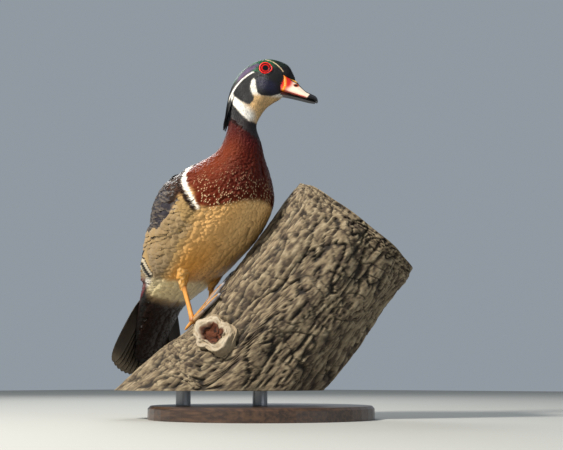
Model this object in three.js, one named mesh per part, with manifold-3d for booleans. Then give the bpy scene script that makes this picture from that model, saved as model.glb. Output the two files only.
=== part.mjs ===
// A life-size wood duck drake standing on a cut length of limb, held by a plain stand.
// Millimetres, +Z up, the bird's body heading along +X, its left side along +Y.
// The origin is the centre of the base's underside.
import * as THREE from 'three';
import { mergeVertices } from 'three/addons/utils/BufferGeometryUtils.js';
import Module from 'manifold-3d';

const wasm = await Module();
wasm.setup();

// Driving sizes
const seam = 0.3;
const baseRadius = 135;
const baseHeight = 16;
const rodRadius = 9;
const rodTop = 44;
const limbRadius = 86;
const limbFoot = 34;
const birdAt = new THREE.Vector3(0, -40, 302);
const neckAxisX = 3;
const headingOfHead = 40;
const viewTurn = THREE.MathUtils.degToRad(40);

// Each station of the body runs from the line of the back to the line of the belly, from bill to tail:
// back (forward, up), belly (forward, up), half width, squareness, heading in degrees.
const bodyStations = [
  [64.9, 103.5, 53.5, 87.5, 4.5, 2.0, 40],
  [60.5, 114.0, 49.9, 83.2, 7.0, 2.0, 40],
  [55.3, 121.8, 45.1, 79.9, 9.8, 2.0, 40],
  [44.5, 127.0, 38.5, 76.2, 13.8, 2.1, 40],
  [30.1, 129.2, 31.3, 71.4, 18.0, 2.1, 40],
  [15.7, 125.2, 25.7, 65.3, 19.3, 2.1, 40],
  [1.9, 116.2, 21.5, 58.7, 18.8, 2.1, 40],
  [-7.7, 102.2, 18.1, 52.0, 17.3, 2.0, 40],
  [-12.1, 87.1, 17.3, 44.8, 16.3, 2.0, 39],
  [-13.9, 70.2, 19.1, 37.5, 16.3, 2.0, 34],
  [-14.8, 53.2, 21.5, 30.3, 17.5, 2.0, 25],
  [-18.4, 37.5, 24.0, 21.0, 21.0, 2.0, 15],
  [-24.0, 23.0, 26.0, 8.0, 26.0, 2.1, 7],
  [-34.0, 13.0, 29.0, -9.0, 34.5, 2.2, 2],
  [-51.0, 6.0, 30.0, -28.0, 45.0, 2.3, 0],
  [-71.0, -3.0, 28.0, -46.0, 54.0, 2.4, 0],
  [-88.0, -17.0, 20.0, -62.0, 59.0, 2.4, 0],
  [-101.0, -37.0, 8.5, -77.0, 61.0, 2.4, 0],
  [-111.0, -58.0, -7.0, -93.0, 60.0, 2.4, 0],
  [-119.0, -80.0, -26.0, -108.0, 56.0, 2.4, 0],
  [-127.0, -101.0, -47.0, -124.0, 51.0, 2.4, 0],
  [-135.0, -121.0, -71.0, -139.0, 45.0, 2.3, 0],
  [-142.0, -139.0, -96.0, -152.0, 39.0, 2.2, 0],
  [-148.0, -155.0, -118.0, -166.0, 34.0, 2.1, 0],
  [-153.5, -176.0, -132.0, -184.0, 30.0, 2.0, 0],
  [-158.0, -199.0, -144.0, -204.0, 26.0, 2.0, 0],
  [-163.0, -221.0, -156.0, -224.0, 19.0, 2.0, 0],
  [-166.0, -234.0, -162.0, -235.5, 11.0, 2.0, 0],
];
const headEnd = 9.6;
const neckEnd = 13.0;
const torsoEnd = 23.0;
const bodyEnd = 27.0;

// Surface of the limb: crest line in the vertical plane that faces the viewer, given along the limb.
const limbCrest = [
  [-196, -308],
  [-138, -257],
  [-91, -216],
  [-59, -192],
  [-20, -143],
  [20, -87],
  [58, -36],
  [72, -18],
];
const limbDepth = -36;
const barkRidge = 2.4;
const limbFootAlong = -22;

const colours = {
  crown: 0x1d3a32,
  chestnut: 0x6b2a1c,
  buff: 0xc9a77a,
  flight: 0x4a443c,
  tailDark: 0x3a332c,
  bill: 0xd9c8ae,
  billDark: 0x1a1716,
  red: 0xc0201a,
  orange: 0xc98a34,
  bark: 0x85745c,
  stand: 0x2a2724,
};

// Interpolates a row of numbers smoothly between stations.
function rowAt(rows, u) {
  const last = rows.length - 1;
  const i = Math.min(last - 1, Math.max(0, Math.floor(u)));
  const t = u - i;
  const at = (k) => rows[Math.min(last, Math.max(0, k))];
  return rows[0].map((unused, c) => {
    const [a, b, d, e] = [at(i - 1)[c], at(i)[c], at(i + 1)[c], at(i + 2)[c]];
    const m0 = (d - a) / 2;
    const m1 = (e - b) / 2;
    const t2 = t * t;
    const t3 = t2 * t;
    return (2 * t3 - 3 * t2 + 1) * b + (t3 - 2 * t2 + t) * m0 + (3 * t2 - 2 * t3) * d + (t3 - t2) * m1;
  });
}

// Point on the body at station u, angle from the back towards the bird's right, and height over the skin.
function bodyPoint(u, angle, over = 0) {
  const [bx, bz, vx, vz, half, square, heading] = rowAt(bodyStations, u);
  const turn = THREE.MathUtils.degToRad(heading);
  const ahead = new THREE.Vector3(Math.cos(turn), Math.sin(turn), 0);
  const right = new THREE.Vector3(Math.sin(turn), -Math.cos(turn), 0);
  const depth = Math.hypot(bx - vx, bz - vz) / 2;
  const up = ahead.clone().multiplyScalar((bx - vx) / 2 / depth);
  up.z = (bz - vz) / 2 / depth;
  const c = Math.cos(angle);
  const s = Math.sin(angle);
  const power = 2 / square;
  const y = Math.sign(c) * Math.abs(c) ** power * (depth + over);
  const x = Math.sign(s) * Math.abs(s) ** power * (half + over);
  const point = ahead.clone().multiplyScalar((bx + vx) / 2);
  point.x += neckAxisX;
  point.z = (bz + vz) / 2;
  return point.addScaledVector(up, y).addScaledVector(right, x).add(birdAt);
}

// Frame on the body's surface: outward, towards the tail, and across.
function bodyFrame(u, angle, over) {
  const step = 0.02;
  const point = bodyPoint(u, angle, over);
  const along = bodyPoint(u + step, angle, over).sub(bodyPoint(u - step, angle, over)).normalize();
  const across = bodyPoint(u, angle + step, over).sub(bodyPoint(u, angle - step, over)).normalize();
  const out = along.clone().cross(across).normalize();
  if (out.dot(point.clone().sub(bodyPoint(u, angle, -5))) < 0) {
    out.negate();
  }
  return { point, along, across, out };
}

// Point in the upright plane of the head: forward and up from the neck's axis, and out to the bird's right.
function headPoint(forward, up, side) {
  const turn = THREE.MathUtils.degToRad(headingOfHead);
  return new THREE.Vector3(
    neckAxisX + forward * Math.cos(turn) + side * Math.sin(turn),
    forward * Math.sin(turn) - side * Math.cos(turn),
    up,
  ).add(birdAt);
}

function solidOf(points, faces) {
  const geometry = new THREE.BufferGeometry();
  const flat = points.flatMap((p) => [p.x, p.y, p.z]);
  geometry.setAttribute('position', new THREE.Float32BufferAttribute(flat, 3));
  geometry.setIndex(faces.flat());
  return toSolid(geometry);
}

function toSolid(source) {
  const geometry = source.clone();
  geometry.deleteAttribute('normal');
  geometry.deleteAttribute('uv');
  const merged = mergeVertices(geometry, 1e-4);
  const vertProperties = new Float32Array(merged.attributes.position.array);
  const triVerts = new Uint32Array(merged.index.array);
  const solid = new wasm.Manifold(new wasm.Mesh({ numProp: 3, vertProperties, triVerts }));
  if (solid.volume() >= 0) {
    return solid;
  }
  for (let i = 0; i < triVerts.length; i += 3) {
    [triVerts[i + 1], triVerts[i + 2]] = [triVerts[i + 2], triVerts[i + 1]];
  }
  return new wasm.Manifold(new wasm.Mesh({ numProp: 3, vertProperties, triVerts }));
}

// Closed solid from rings of points, with a fan at each end.
function ringSolid(rings) {
  const n = rings[0].length;
  const points = rings.flat();
  const faces = [];
  for (let r = 0; r + 1 < rings.length; r += 1) {
    for (let k = 0; k < n; k += 1) {
      const a = r * n + k;
      const b = r * n + ((k + 1) % n);
      faces.push([a, b, b + n], [a, b + n, a + n]);
    }
  }
  const middle = (ring) => ring.reduce((sum, p) => sum.add(p), new THREE.Vector3()).divideScalar(n);
  const start = points.push(middle(rings[0])) - 1;
  const end = points.push(middle(rings[rings.length - 1])) - 1;
  const offset = (rings.length - 1) * n;
  for (let k = 0; k < n; k += 1) {
    const next = (k + 1) % n;
    faces.push([start, next, k], [end, offset + k, offset + next]);
  }
  return solidOf(points, faces);
}

// Closed sheet from two grids of points alike in size, split alike on both faces.
function sheetSolid(top, bottom) {
  const rows = top.length;
  const columns = top[0].length;
  const points = [...top.flat(), ...bottom.flat()];
  const under = rows * columns;
  const faces = [];
  for (let r = 0; r + 1 < rows; r += 1) {
    for (let c = 0; c + 1 < columns; c += 1) {
      const a = r * columns + c;
      const b = a + columns;
      faces.push([a, a + 1, b + 1], [a, b + 1, b]);
      faces.push([under + a, under + b + 1, under + a + 1], [under + a, under + b, under + b + 1]);
    }
  }
  const span = (count, at) => Array.from({ length: count }, (unused, i) => at(i));
  const rim = [
    ...span(columns - 1, (c) => c),
    ...span(rows - 1, (r) => r * columns + columns - 1),
    ...span(columns - 1, (c) => rows * columns - 1 - c),
    ...span(rows - 1, (r) => (rows - 1 - r) * columns),
  ];
  rim.forEach((a, i) => {
    const b = rim[(i + 1) % rim.length];
    faces.push([a, under + a, under + b], [a, under + b, b]);
  });
  return solidOf(points, faces);
}

const joined = (solids) => solids.reduce((sum, solid) => sum.add(solid));
const cutBy = (solid, tools) => tools.reduce((rest, tool) => rest.subtract(tool), solid);

function largest(solid) {
  return solid.decompose().reduce((best, piece) => (piece.volume() > best.volume() ? piece : best));
}

// Feather vane along a path of frames: thin edges, a thicker shaft, rounded at the tip.
const vaneEdge = 0.55;
const vaneShaft = 1.1;
function vane(frames, width, camber = 0.08, roundTip = 0.35) {
  const top = [];
  const bottom = [];
  const last = frames.length - 1;
  frames.forEach(({ point, out, across }, i) => {
    const t = i / last;
    const swell = Math.min(1, 0.55 + 1.6 * t);
    const taper = t > 0.72 ? 1 - (1 - roundTip) * ((t - 0.72) / 0.28) ** 2 : 1;
    const half = (width / 2) * swell * taper;
    const shaft = vaneShaft * (1 - 0.45 * t);
      const cols = [-half, 0, half].map((x) => {
      const drop = camber * Math.abs(x);
      return point.clone().addScaledVector(across, x).addScaledVector(out, -drop);
    });
    const thick = [vaneEdge, shaft, vaneEdge];
    top.push(cols.map((p, c) => p.clone().addScaledVector(out, thick[c] / 2)));
    bottom.push(cols.map((p, c) => p.clone().addScaledVector(out, -thick[c] / 2)));
  });
  return sheetSolid(top, bottom);
}

// Path of a feather that lies on the body, from root to tip, at a height over the skin at each end.
function pathOnBody(from, to, over, steps = 5) {
  const frames = [];
  for (let i = 0; i <= steps; i += 1) {
    const t = i / steps;
    const u = from[0] + (to[0] - from[0]) * t;
    const angle = from[1] + (to[1] - from[1]) * t;
    frames.push(bodyFrame(u, angle, over[0] + (over[1] - over[0]) * t));
  }
  frames.forEach((frame, i) => {
    const ahead = frames[Math.min(steps, i + 1)].point;
    const behind = frames[Math.max(0, i - 1)].point;
    const along = ahead.clone().sub(behind).normalize();
    frame.across = frame.out.clone().cross(along).normalize();
    frame.out = along.clone().cross(frame.across).normalize();
  });
  return frames;
}

function bodyLoft(from, to, steps, sides, over = 0) {
  const rings = [];
  for (let i = 0; i <= steps; i += 1) {
    const u = from + ((to - from) * i) / steps;
    const ring = [];
    for (let k = 0; k < sides; k += 1) {
      ring.push(bodyPoint(u, (2 * Math.PI * k) / sides, over));
    }
    rings.push(ring);
  }
  return ringSolid(rings);
}

// Raised patch that follows the body between two lines of angle, thickest in its middle.
function bodyPatch({ from, to, low, high, height, root = -2.5, steps, columns, rim = 0.15 }) {
  const top = [];
  const bottom = [];
  for (let i = 0; i <= steps; i += 1) {
    const t = i / steps;
    const u = from + (to - from) * t;
    const rowTop = [];
    const rowBottom = [];
    for (let c = 0; c <= columns; c += 1) {
      const w = c / columns;
      const angle = low(t) + (high(t) - low(t)) * w;
      rowTop.push(bodyPoint(u, angle, Math.max(rim, height(t, w))));
      rowBottom.push(bodyPoint(u, angle, root));
    }
    top.push(rowTop);
    bottom.push(rowBottom);
  }
  return sheetSolid(top, bottom);
}

const group = new THREE.Group();

function place(name, solid, colour, roughness = 0.8, metalness = 0) {
  const mesh = largest(solid).getMesh();
  const geometry = new THREE.BufferGeometry();
  geometry.setAttribute('position', new THREE.Float32BufferAttribute(mesh.vertProperties, 3));
  geometry.setIndex(new THREE.Uint32BufferAttribute(mesh.triVerts, 1));
  const material = new THREE.MeshStandardMaterial({ color: colour, roughness, metalness });
  const part = new THREE.Mesh(geometry, material);
  part.name = name;
  group.add(part);
}

const degrees = THREE.MathUtils.degToRad;
const bell = (t) => Math.sin(Math.PI * Math.min(1, Math.max(0, t)));

// Limb: rings along its crest line, with bark ridges that run along it, cut level at its foot.
const viewRight = new THREE.Vector3(Math.cos(viewTurn), Math.sin(viewTurn), 0);
const viewNear = new THREE.Vector3(Math.sin(viewTurn), -Math.cos(viewTurn), 0);
function limbAxis(u) {
  const [along, up] = rowAt(limbCrest, u);
  const [alongNext, upNext] = rowAt(limbCrest, u + 0.05);
  const way = new THREE.Vector2(alongNext - along, upNext - up).normalize();
  const lift = viewRight.clone().multiplyScalar(-way.y);
  lift.z = way.x;
  const crest = viewRight.clone().multiplyScalar(along).addScaledVector(viewNear, limbDepth);
  crest.z = up;
  crest.add(birdAt);
  const along3 = viewRight.clone().multiplyScalar(way.x);
  along3.z = way.y;
  return { crest, lift, along: along3 };
}
function limbPoint(u, angle, over = 0) {
  const { crest, lift } = limbAxis(u);
  const centre = crest.clone().addScaledVector(lift, -limbRadius);
  const radius = limbRadius + over;
  return centre
    .addScaledVector(lift, radius * Math.cos(angle))
    .addScaledVector(viewNear, radius * Math.sin(angle));
}
function barkOver(u, angle) {
  const quiet = 1 - Math.exp(-((angle / 0.5) ** 2));
  const ridge = Math.sin(9 * angle + 1.3 * Math.sin(2.1 * u)) + 0.6 * Math.sin(5 * angle - 3.1 * u);
  return (barkRidge * ridge - 0.5) * (0.25 + 0.75 * quiet);
}
function limb(over) {
  const rings = [];
  const steps = 17;
  const sides = 26;
  const last = limbCrest.length - 1;
  for (let i = 0; i <= steps; i += 1) {
    const u = (last * i) / steps;
    const ring = [];
    for (let k = 0; k < sides; k += 1) {
      const angle = (2 * Math.PI * k) / sides;
      const wrapped = angle > Math.PI ? angle - 2 * Math.PI : angle;
      ring.push(limbPoint(u, angle, barkOver(u, wrapped) + over));
    }
    rings.push(ring);
  }
  return ringSolid(rings);
}
function boxSolid(size, at) {
  const box = new THREE.BoxGeometry(size, size, size);
  box.translate(at.x, at.y, at.z);
  return toSolid(box);
}
// Knot of a lost branch: a rolled rim round a hollow, both turned about the bark's outward line.
const knotAlong = 3.2;
const knotAngle = degrees(51);
const knotRim = [[0, -14], [25, -14], [25, 2], [20, 7], [15, 8], [11.5, 4], [9, -3], [0, -5]];
const knotHeart = [[0, -5], [9, -3], [11.5, 4], [14, 9], [14, 20], [0, 20]];
function knotPiece(profile) {
  const lathe = new THREE.LatheGeometry(profile.map((p) => new THREE.Vector2(p[0], p[1])), 18);
  const centre = limbPoint(knotAlong, knotAngle);
  const out = centre.clone().sub(limbPoint(knotAlong, knotAngle, -10)).normalize();
  const turn = new THREE.Quaternion().setFromUnitVectors(new THREE.Vector3(0, 1, 0), out);
  lathe.applyMatrix4(new THREE.Matrix4().compose(centre, turn, new THREE.Vector3(1, 1, 1)));
  return toSolid(lathe);
}
// Everything under the limb's foot, as a block far larger than the limb
const far = 900;
const floorCut = boxSolid(far, new THREE.Vector3(0, 0, limbFoot - far / 2));

// Stand: a round base with a softened rim and two rods up into the limb's level foot.
function turned(profile, sides, at) {
  const lathe = new THREE.LatheGeometry(profile.map((p) => new THREE.Vector2(p[0], p[1])), sides);
  lathe.rotateX(Math.PI / 2);
  lathe.translate(at.x, at.y, at.z);
  return toSolid(lathe);
}
const rimEase = 3;
const baseProfile = [
  [0, 0],
  [baseRadius, 0],
  [baseRadius, baseHeight - rimEase],
  [baseRadius - rimEase, baseHeight],
  [0, baseHeight],
];
const footMiddle = birdAt.clone()
  .addScaledVector(viewRight, limbFootAlong)
  .addScaledVector(viewNear, limbDepth);
const rodSpread = 46;
const rodPlaces = [-1, 1].map((side) => footMiddle.clone().addScaledVector(viewRight, side * rodSpread));
function rod(at, radius, from, to) {
  return turned([[0, from], [radius, from], [radius, to], [0, to]], 20, new THREE.Vector3(at.x, at.y, 0));
}
place('stand_base', turned(baseProfile, 44, new THREE.Vector3(0, 0, 0)), colours.stand, 0.45);
rodPlaces.forEach((at, i) => {
  place(`stand_rod_${i + 1}`, rod(at, rodRadius, baseHeight + seam, rodTop), colours.stand, 0.3, 0.8);
});
const rodHoles = rodPlaces.map((at) => rod(at, rodRadius + seam, 0, rodTop + seam));
const limbCuts = [knotPiece(knotHeart), floorCut, ...rodHoles];
place('perch', cutBy(limb(0).add(knotPiece(knotRim)), limbCuts), colours.bark, 0.95);

// Bill: the upper bill runs from the face to a hooked nail, the lower one lies under its edge.
// Each row: forward, top, bottom, half width at the top, half width at the bottom.
const upperBill = [
  [46.5, 113.0, 89.2, 12.0, 12.6],
  [50.0, 110.5, 88.0, 11.0, 12.2],
  [56.5, 106.0, 86.2, 8.8, 11.0],
  [65.5, 102.0, 83.4, 5.2, 9.8],
  [70.0, 96.5, 82.0, 4.8, 9.6],
  [76.5, 90.0, 80.2, 4.6, 9.4],
  [83.0, 86.6, 78.6, 4.4, 9.2],
  [88.5, 83.8, 77.2, 3.8, 7.6],
  [91.5, 80.0, 75.4, 2.6, 4.6],
];
const lowerBill = [
  [46.5, 88.7, 84.6, 9.0, 7.5],
  [55.5, 86.0, 83.0, 9.2, 7.4],
  [69.0, 81.8, 79.9, 8.8, 7.0],
  [80.5, 78.8, 76.8, 8.2, 6.2],
  [88.5, 76.6, 75.2, 5.6, 4.2],
];
function billLoft(rows, steps) {
  const rings = [];
  for (let i = 0; i <= steps; i += 1) {
    const [forward, top, bottom, wideTop, wideBottom] = rowAt(rows, ((rows.length - 1) * i) / steps);
    const shape = [
      [0, top],
      [wideTop * 0.7, top - 0.08 * (top - bottom)],
      [wideTop + 0.3 * (wideBottom - wideTop), top - 0.35 * (top - bottom)],
      [wideBottom, bottom + 0.3 * (top - bottom)],
      [wideBottom * 0.96, bottom],
      [0, bottom],
    ];
    const mirrored = shape.slice(1, -1).reverse().map(([x, z]) => [-x, z]);
    rings.push([...shape, ...mirrored].map(([x, z]) => headPoint(forward, z, x)));
  }
  return ringSolid(rings);
}
function nostril(side) {
  const slot = new THREE.SphereGeometry(1, 10, 8);
  slot.scale(2.4, 2.6, 1.1);
  slot.rotateZ(degrees(headingOfHead));
  const at = headPoint(65.2, 95.0, side * 7.4);
  slot.translate(at.x, at.y, at.z);
  return toSolid(slot);
}

// Eyes sit in sockets, each with its ring of bare lid, drawn out to a point at the front.
const eyeAt = [28.2, 114.8];
const eyeOut = 15.6;
const eyeTilt = { back: 6, down: 9 };
const eyeSides = 18;
const lidPoint = 0.16;
function eyePiece(side, profile, ring) {
  const lathe = new THREE.LatheGeometry(profile.map((p) => new THREE.Vector2(p[0], p[1])), eyeSides);
  const spots = lathe.attributes.position;
  for (let i = 0; i < spots.count; i += 1) {
    const x = spots.getX(i);
    const z = spots.getZ(i);
    const front = Math.max(0, x / (Math.hypot(x, z) || 1)) ** 6;
    const forward = x * (1 + (ring ? lidPoint * front : 0));
    const lean = forward * Math.tan(degrees(eyeTilt.back)) + z * Math.tan(degrees(eyeTilt.down));
    const out = spots.getY(i) - lean;
    const at = headPoint(eyeAt[0] + forward, eyeAt[1] + z, side * (eyeOut + out));
    spots.setXYZ(i, at.x, at.y, at.z);
  }
  return toSolid(lathe);
}
const eyeProfile = [[0, -3], [5.6, -3], [5.6, -0.6], [4.4, 0.6], [2.4, 1.5], [0, 1.8]];
const lidProfile = [[5.9, -3], [7.4, -3], [7.6, 0.3], [6.9, 1.1], [5.95, 0.2], [5.9, -3]];
const socketProfile = [[0, -3.3], [7.7, -3.3], [7.9, 0.3], [7.9, 9], [0, 9]];

const headSides = 28;
const headWhole = bodyLoft(0, headEnd - 0.012, 19, headSides);
const sides = [['right', 1], ['left', -1]];
const sockets = sides.map(([, side]) => eyePiece(side, socketProfile, true));
place('head', cutBy(headWhole, sockets), colours.crown, 0.6);
const headGrown = bodyLoft(-0.02, headEnd, 19, headSides, seam);
const upper = cutBy(billLoft(upperBill, 11), [headGrown, nostril(1), nostril(-1)]);
place('bill_upper', upper, colours.bill, 0.45);
place('bill_lower', cutBy(billLoft(lowerBill, 6), [headGrown]), colours.billDark, 0.5);
sides.forEach(([name, side]) => {
  place(`eye_${name}`, eyePiece(side, eyeProfile, false), colours.red, 0.1);
  place(`lid_${name}`, eyePiece(side, lidProfile, true), colours.red, 0.5);
});

// Crest: flat feathers from the nape, the longest in the middle, over a low pad that they root in.
const crestFeathers = 9;
function crest() {
  const pieces = [
    bodyPatch({
      from: 5.6, to: 8.2, steps: 3, columns: 6, root: seam,
      low: () => degrees(-58), high: () => degrees(58),
      height: (t, w) => seam + 0.6 + 1.8 * bell(t) * bell(w),
    }),
  ];
  for (let k = 0; k < crestFeathers; k += 1) {
    const f = (k - (crestFeathers - 1) / 2) / ((crestFeathers - 1) / 2);
    const from = [6.3 + 0.5 * Math.abs(f), degrees(44) * f];
    const to = [10.7 - 1.5 * f * f, degrees(26) * f];
    const rise = 9.5 - 7 * Math.abs(f);
    pieces.push(vane(pathOnBody(from, to, [1.3, rise], 4), 8, 0.1, 0.25));
  }
  return joined(pieces);
}
place('crest', cutBy(crest(), [headGrown]), colours.crown, 0.5);
place('neck', bodyLoft(headEnd + 0.012, neckEnd - 0.01, 7, 26), colours.chestnut, 0.6);

// Flank: long side feathers that rise as a lip over the wing's lower edge.
const flankTop = [94, 90, 80, 62, 52, 54, 60];
function flank(side, grow = 0) {
  return bodyPatch({
    from: 16.2 - grow / 10, to: 21.6 + grow / 10, steps: 10, columns: 5,
    low: (t) => side * degrees(rowAt(flankTop.map((a) => [a]), t * (flankTop.length - 1))[0] - grow),
    high: () => side * degrees(112 + grow),
    height: (t, w) => {
      const lip = (6.2 * (1 - w) ** 0.8 + 1.2) * bell(0.08 + 0.84 * t) ** 0.5;
      return grow + 0.3 + (w < 1 ? lip : 0);
    },
  });
}
const torsoSteps = 15;
const torsoSides = 26;
const torsoLoft = bodyLoft(neckEnd + 0.01, torsoEnd - 0.01, torsoSteps, torsoSides);
const torso = joined([torsoLoft, flank(1), flank(-1)]);
place('torso', torso, colours.buff, 0.85);
const torsoGrown = joined([
  bodyLoft(neckEnd - 0.05, torsoEnd, torsoSteps, torsoSides, seam),
  flank(1, seam),
  flank(-1, seam),
]);

// Wings: a core of coverts over the shoulder, then tiers of vanes from the lowest to the highest.
const wingTiers = [
  { count: 5, from: [16.6, 34, 58], to: [22.7, 13, 26], over: [0.8, 2.2], step: 1.15, width: 16 },
  { count: 4, from: [16.8, 48, 70], to: [20.4, 42, 62], over: [3.4, 5.4], step: 1.2, width: 20 },
  { count: 4, from: [15.9, 20, 44], to: [21.0, 11, 36], over: [4.2, 7.8], step: 1.25, width: 20 },
  { count: 4, from: [16.1, 28, 74], to: [18.4, 24, 68], over: [6.0, 9.6], step: 0.9, width: 22 },
];
function wing(side) {
  const pieces = [
    bodyPatch({
      from: 15.6, to: 18.6, steps: 6, columns: 6, root: seam,
      low: () => side * degrees(9), high: () => side * degrees(90),
      height: (t, w) => seam + 0.8 + 7 * bell(0.12 + 0.8 * t) ** 0.7 * bell(0.1 + 0.85 * w) ** 0.7,
    }),
  ];
  wingTiers.forEach(({ count, from, to, over, step, width }) => {
    for (let k = 0; k < count; k += 1) {
      const t = k / (count - 1);
      const start = [from[0] + 0.25 * t, side * degrees(from[1] + (from[2] - from[1]) * t)];
      const end = [to[0] - 0.35 * t * t, side * degrees(to[1] + (to[2] - to[1]) * t)];
      const rise = (count - 1 - k) * step;
      pieces.push(vane(pathOnBody(start, end, [over[0] + rise, over[1] + rise], 4), width));
    }
  });
  return cutBy(joined(pieces), [torsoGrown]);
}
sides.forEach(([name, side]) => place(`wing_${name}`, wing(side), colours.flight, 0.7));

// Tail: a tapering core of coverts with the tail feathers fanned from its root, the middle pair uppermost.
const tailPairs = 7;
const tailLength = 104;
const tailFan = 25;
const tailDown = new THREE.Vector3(-0.225, 0, -0.974).normalize();
const tailBack = new THREE.Vector3(-0.974, 0, 0.225).normalize();
function tailFeather(k, side) {
  const f = (k + 0.5) / tailPairs;
  const angle = side * degrees(tailFan * f);
  const way = tailDown.clone().multiplyScalar(Math.cos(angle));
  way.y += -Math.sin(angle);
  const wide = tailBack.clone().cross(way).normalize();
  const root = new THREE.Vector3(-143, -side * (2 + 19 * f), -150).add(birdAt);
  root.addScaledVector(tailBack, 3.5 - 1.5 * k + (k === 0 ? 0.75 * side : 0));
  const length = tailLength * (1 - 0.13 * f * f);
  const steps = 4;
  const frames = [];
  for (let i = 0; i <= steps; i += 1) {
    const t = i / steps;
    const point = root.clone().addScaledVector(way, length * t);
    point.addScaledVector(tailBack, 3.2 * Math.sin(Math.PI * t * 0.6) - 3 * f * f * t);
    frames.push({ point, out: tailBack, across: wide });
  }
  return vane(frames, 21, 0.05 + 0.06 * f, 0.5);
}
function tail() {
  const pieces = [bodyLoft(torsoEnd + 0.01, bodyEnd, 7, 20)];
  for (let k = 0; k < tailPairs; k += 1) {
    sides.forEach(([, side]) => pieces.push(tailFeather(k, side)));
  }
  return cutBy(joined(pieces), [torsoGrown]);
}
place('tail', tail(), colours.tailDark, 0.7);

// Legs: feathered thigh, bare shank with a knuckle at the ankle, webbed foot that lies up the limb.
const legs = {
  right: { hip: [-62, -33, -104], ankle: [-66, -28, -142], heel: [-55, -26, -183] },
  left: { hip: [-58, 33, -100], ankle: [-71, 27, -141], heel: [-71, 25, -170] },
};
function tube(stops, count = 10) {
  const rings = stops.map(({ at, radius, flat = 1 }, i) => {
    const before = stops[Math.max(0, i - 1)].at;
    const after = stops[Math.min(stops.length - 1, i + 1)].at;
    const way = after.clone().sub(before).normalize();
    const sideways = new THREE.Vector3(0, 1, 0).addScaledVector(way, -way.y).normalize();
    const front = way.clone().cross(sideways);
    const ring = [];
    for (let k = 0; k < count; k += 1) {
      const a = (2 * Math.PI * k) / count;
      const spot = at.clone().addScaledVector(sideways, radius * flat * Math.cos(a));
      ring.push(spot.addScaledVector(front, radius * Math.sin(a)));
    }
    return ring;
  });
  return ringSolid(rings);
}
const spot = (p) => new THREE.Vector3(...p).add(birdAt);
const between = (a, b, t) => a.clone().lerp(b, t);

// Foot frame on the limb under the heel: where it stands, up the limb, across, and out of the bark.
function footFrame(leg) {
  const heel = spot(leg.heel);
  const near = heel.clone().sub(birdAt).dot(viewNear) - limbDepth;
  const angle = Math.asin(near / limbRadius);
  let best = 0;
  let gap = Infinity;
  for (let u = 1.5; u < 4.5; u += 0.01) {
    const distance = limbPoint(u, angle).distanceTo(heel);
    if (distance < gap) {
      gap = distance;
      best = u;
    }
  }
  return { u: best, angle, point: limbPoint(best, angle) };
}
const limbUnit = limbPoint(3.5, 0).distanceTo(limbPoint(2.5, 0));
function onLimb(foot, forward, sideways, over) {
  return limbPoint(foot.u + forward / limbUnit, foot.angle + sideways / limbRadius, over);
}
const toes = [
  { turn: -24, long: 44 },
  { turn: -3, long: 51 },
  { turn: 18, long: 45 },
];
const footYaw = 10;
const toeRadius = 2.6;
const webOver = 3.4;
function toePath(foot, turn, long, t, over) {
  const angle = degrees(turn + footYaw);
  return onLimb(foot, long * t * Math.cos(angle), long * t * Math.sin(angle), over);
}
function footSolid(leg) {
  const foot = footFrame(leg);
  const pieces = [];
  toes.forEach(({ turn, long }) => {
    const stops = [[0, 1.25], [0.33, 1.1], [0.42, 0.95], [0.7, 1.05], [0.84, 0.8]];
    const path = stops.map(([t, r]) => ({
      at: toePath(foot, turn, long, t, toeRadius + 1.2 + 0.6 * (1 - t)),
      radius: toeRadius * r,
    }));
    pieces.push(tube(path, 7));
    const claw = [[0.8, 0.66, 3.6], [0.92, 0.5, 4.1], [1.05, 0.12, 1.9]];
    const hook = claw.map(([t, r, over]) => ({
      at: toePath(foot, turn, long, t, over),
      radius: toeRadius * r,
    }));
    pieces.push(tube(hook, 5));
  });
  for (let k = 0; k + 1 < toes.length; k += 1) {
    const top = [];
    const bottom = [];
    const steps = 3;
    const columns = 3;
    for (let i = 0; i <= steps; i += 1) {
      const rowTop = [];
      const rowBottom = [];
      for (let c = 0; c <= columns; c += 1) {
        const w = c / columns;
        const turn = toes[k].turn + (toes[k + 1].turn - toes[k].turn) * w;
        const long = toes[k].long + (toes[k + 1].long - toes[k].long) * w;
        const reach = (0.82 - 0.16 * bell(w)) * (0.06 + (0.94 * i) / steps);
        rowTop.push(toePath(foot, turn, long, reach, webOver + 0.45));
        rowBottom.push(toePath(foot, turn, long, reach, webOver - 0.45));
      }
      top.push(rowTop);
      bottom.push(rowBottom);
    }
    pieces.push(sheetSolid(top, bottom));
  }
  const hind = [[0, 1], [-0.14, 0.8], [-0.25, 0.62], [-0.33, 0.2]];
  pieces.push(
    tube(hind.map(([t, r]) => ({ at: toePath(foot, 14, 50, t, 4.6 + 6 * t), radius: toeRadius * r })), 6),
  );
  const ankle = spot(leg.ankle);
  const heelTop = onLimb(foot, 0, 0, 5.2);
  pieces.push(
    tube([
      { at: onLimb(foot, 1, 0, 3.2), radius: 3.4 },
      { at: heelTop, radius: 3.9 },
      { at: between(heelTop, ankle, 0.1), radius: 3.2 },
    ]),
  );
  return { solid: joined(pieces), knuckle: between(heelTop, ankle, 0.1), ankle };
}
const limbGrown = limb(seam);
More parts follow.
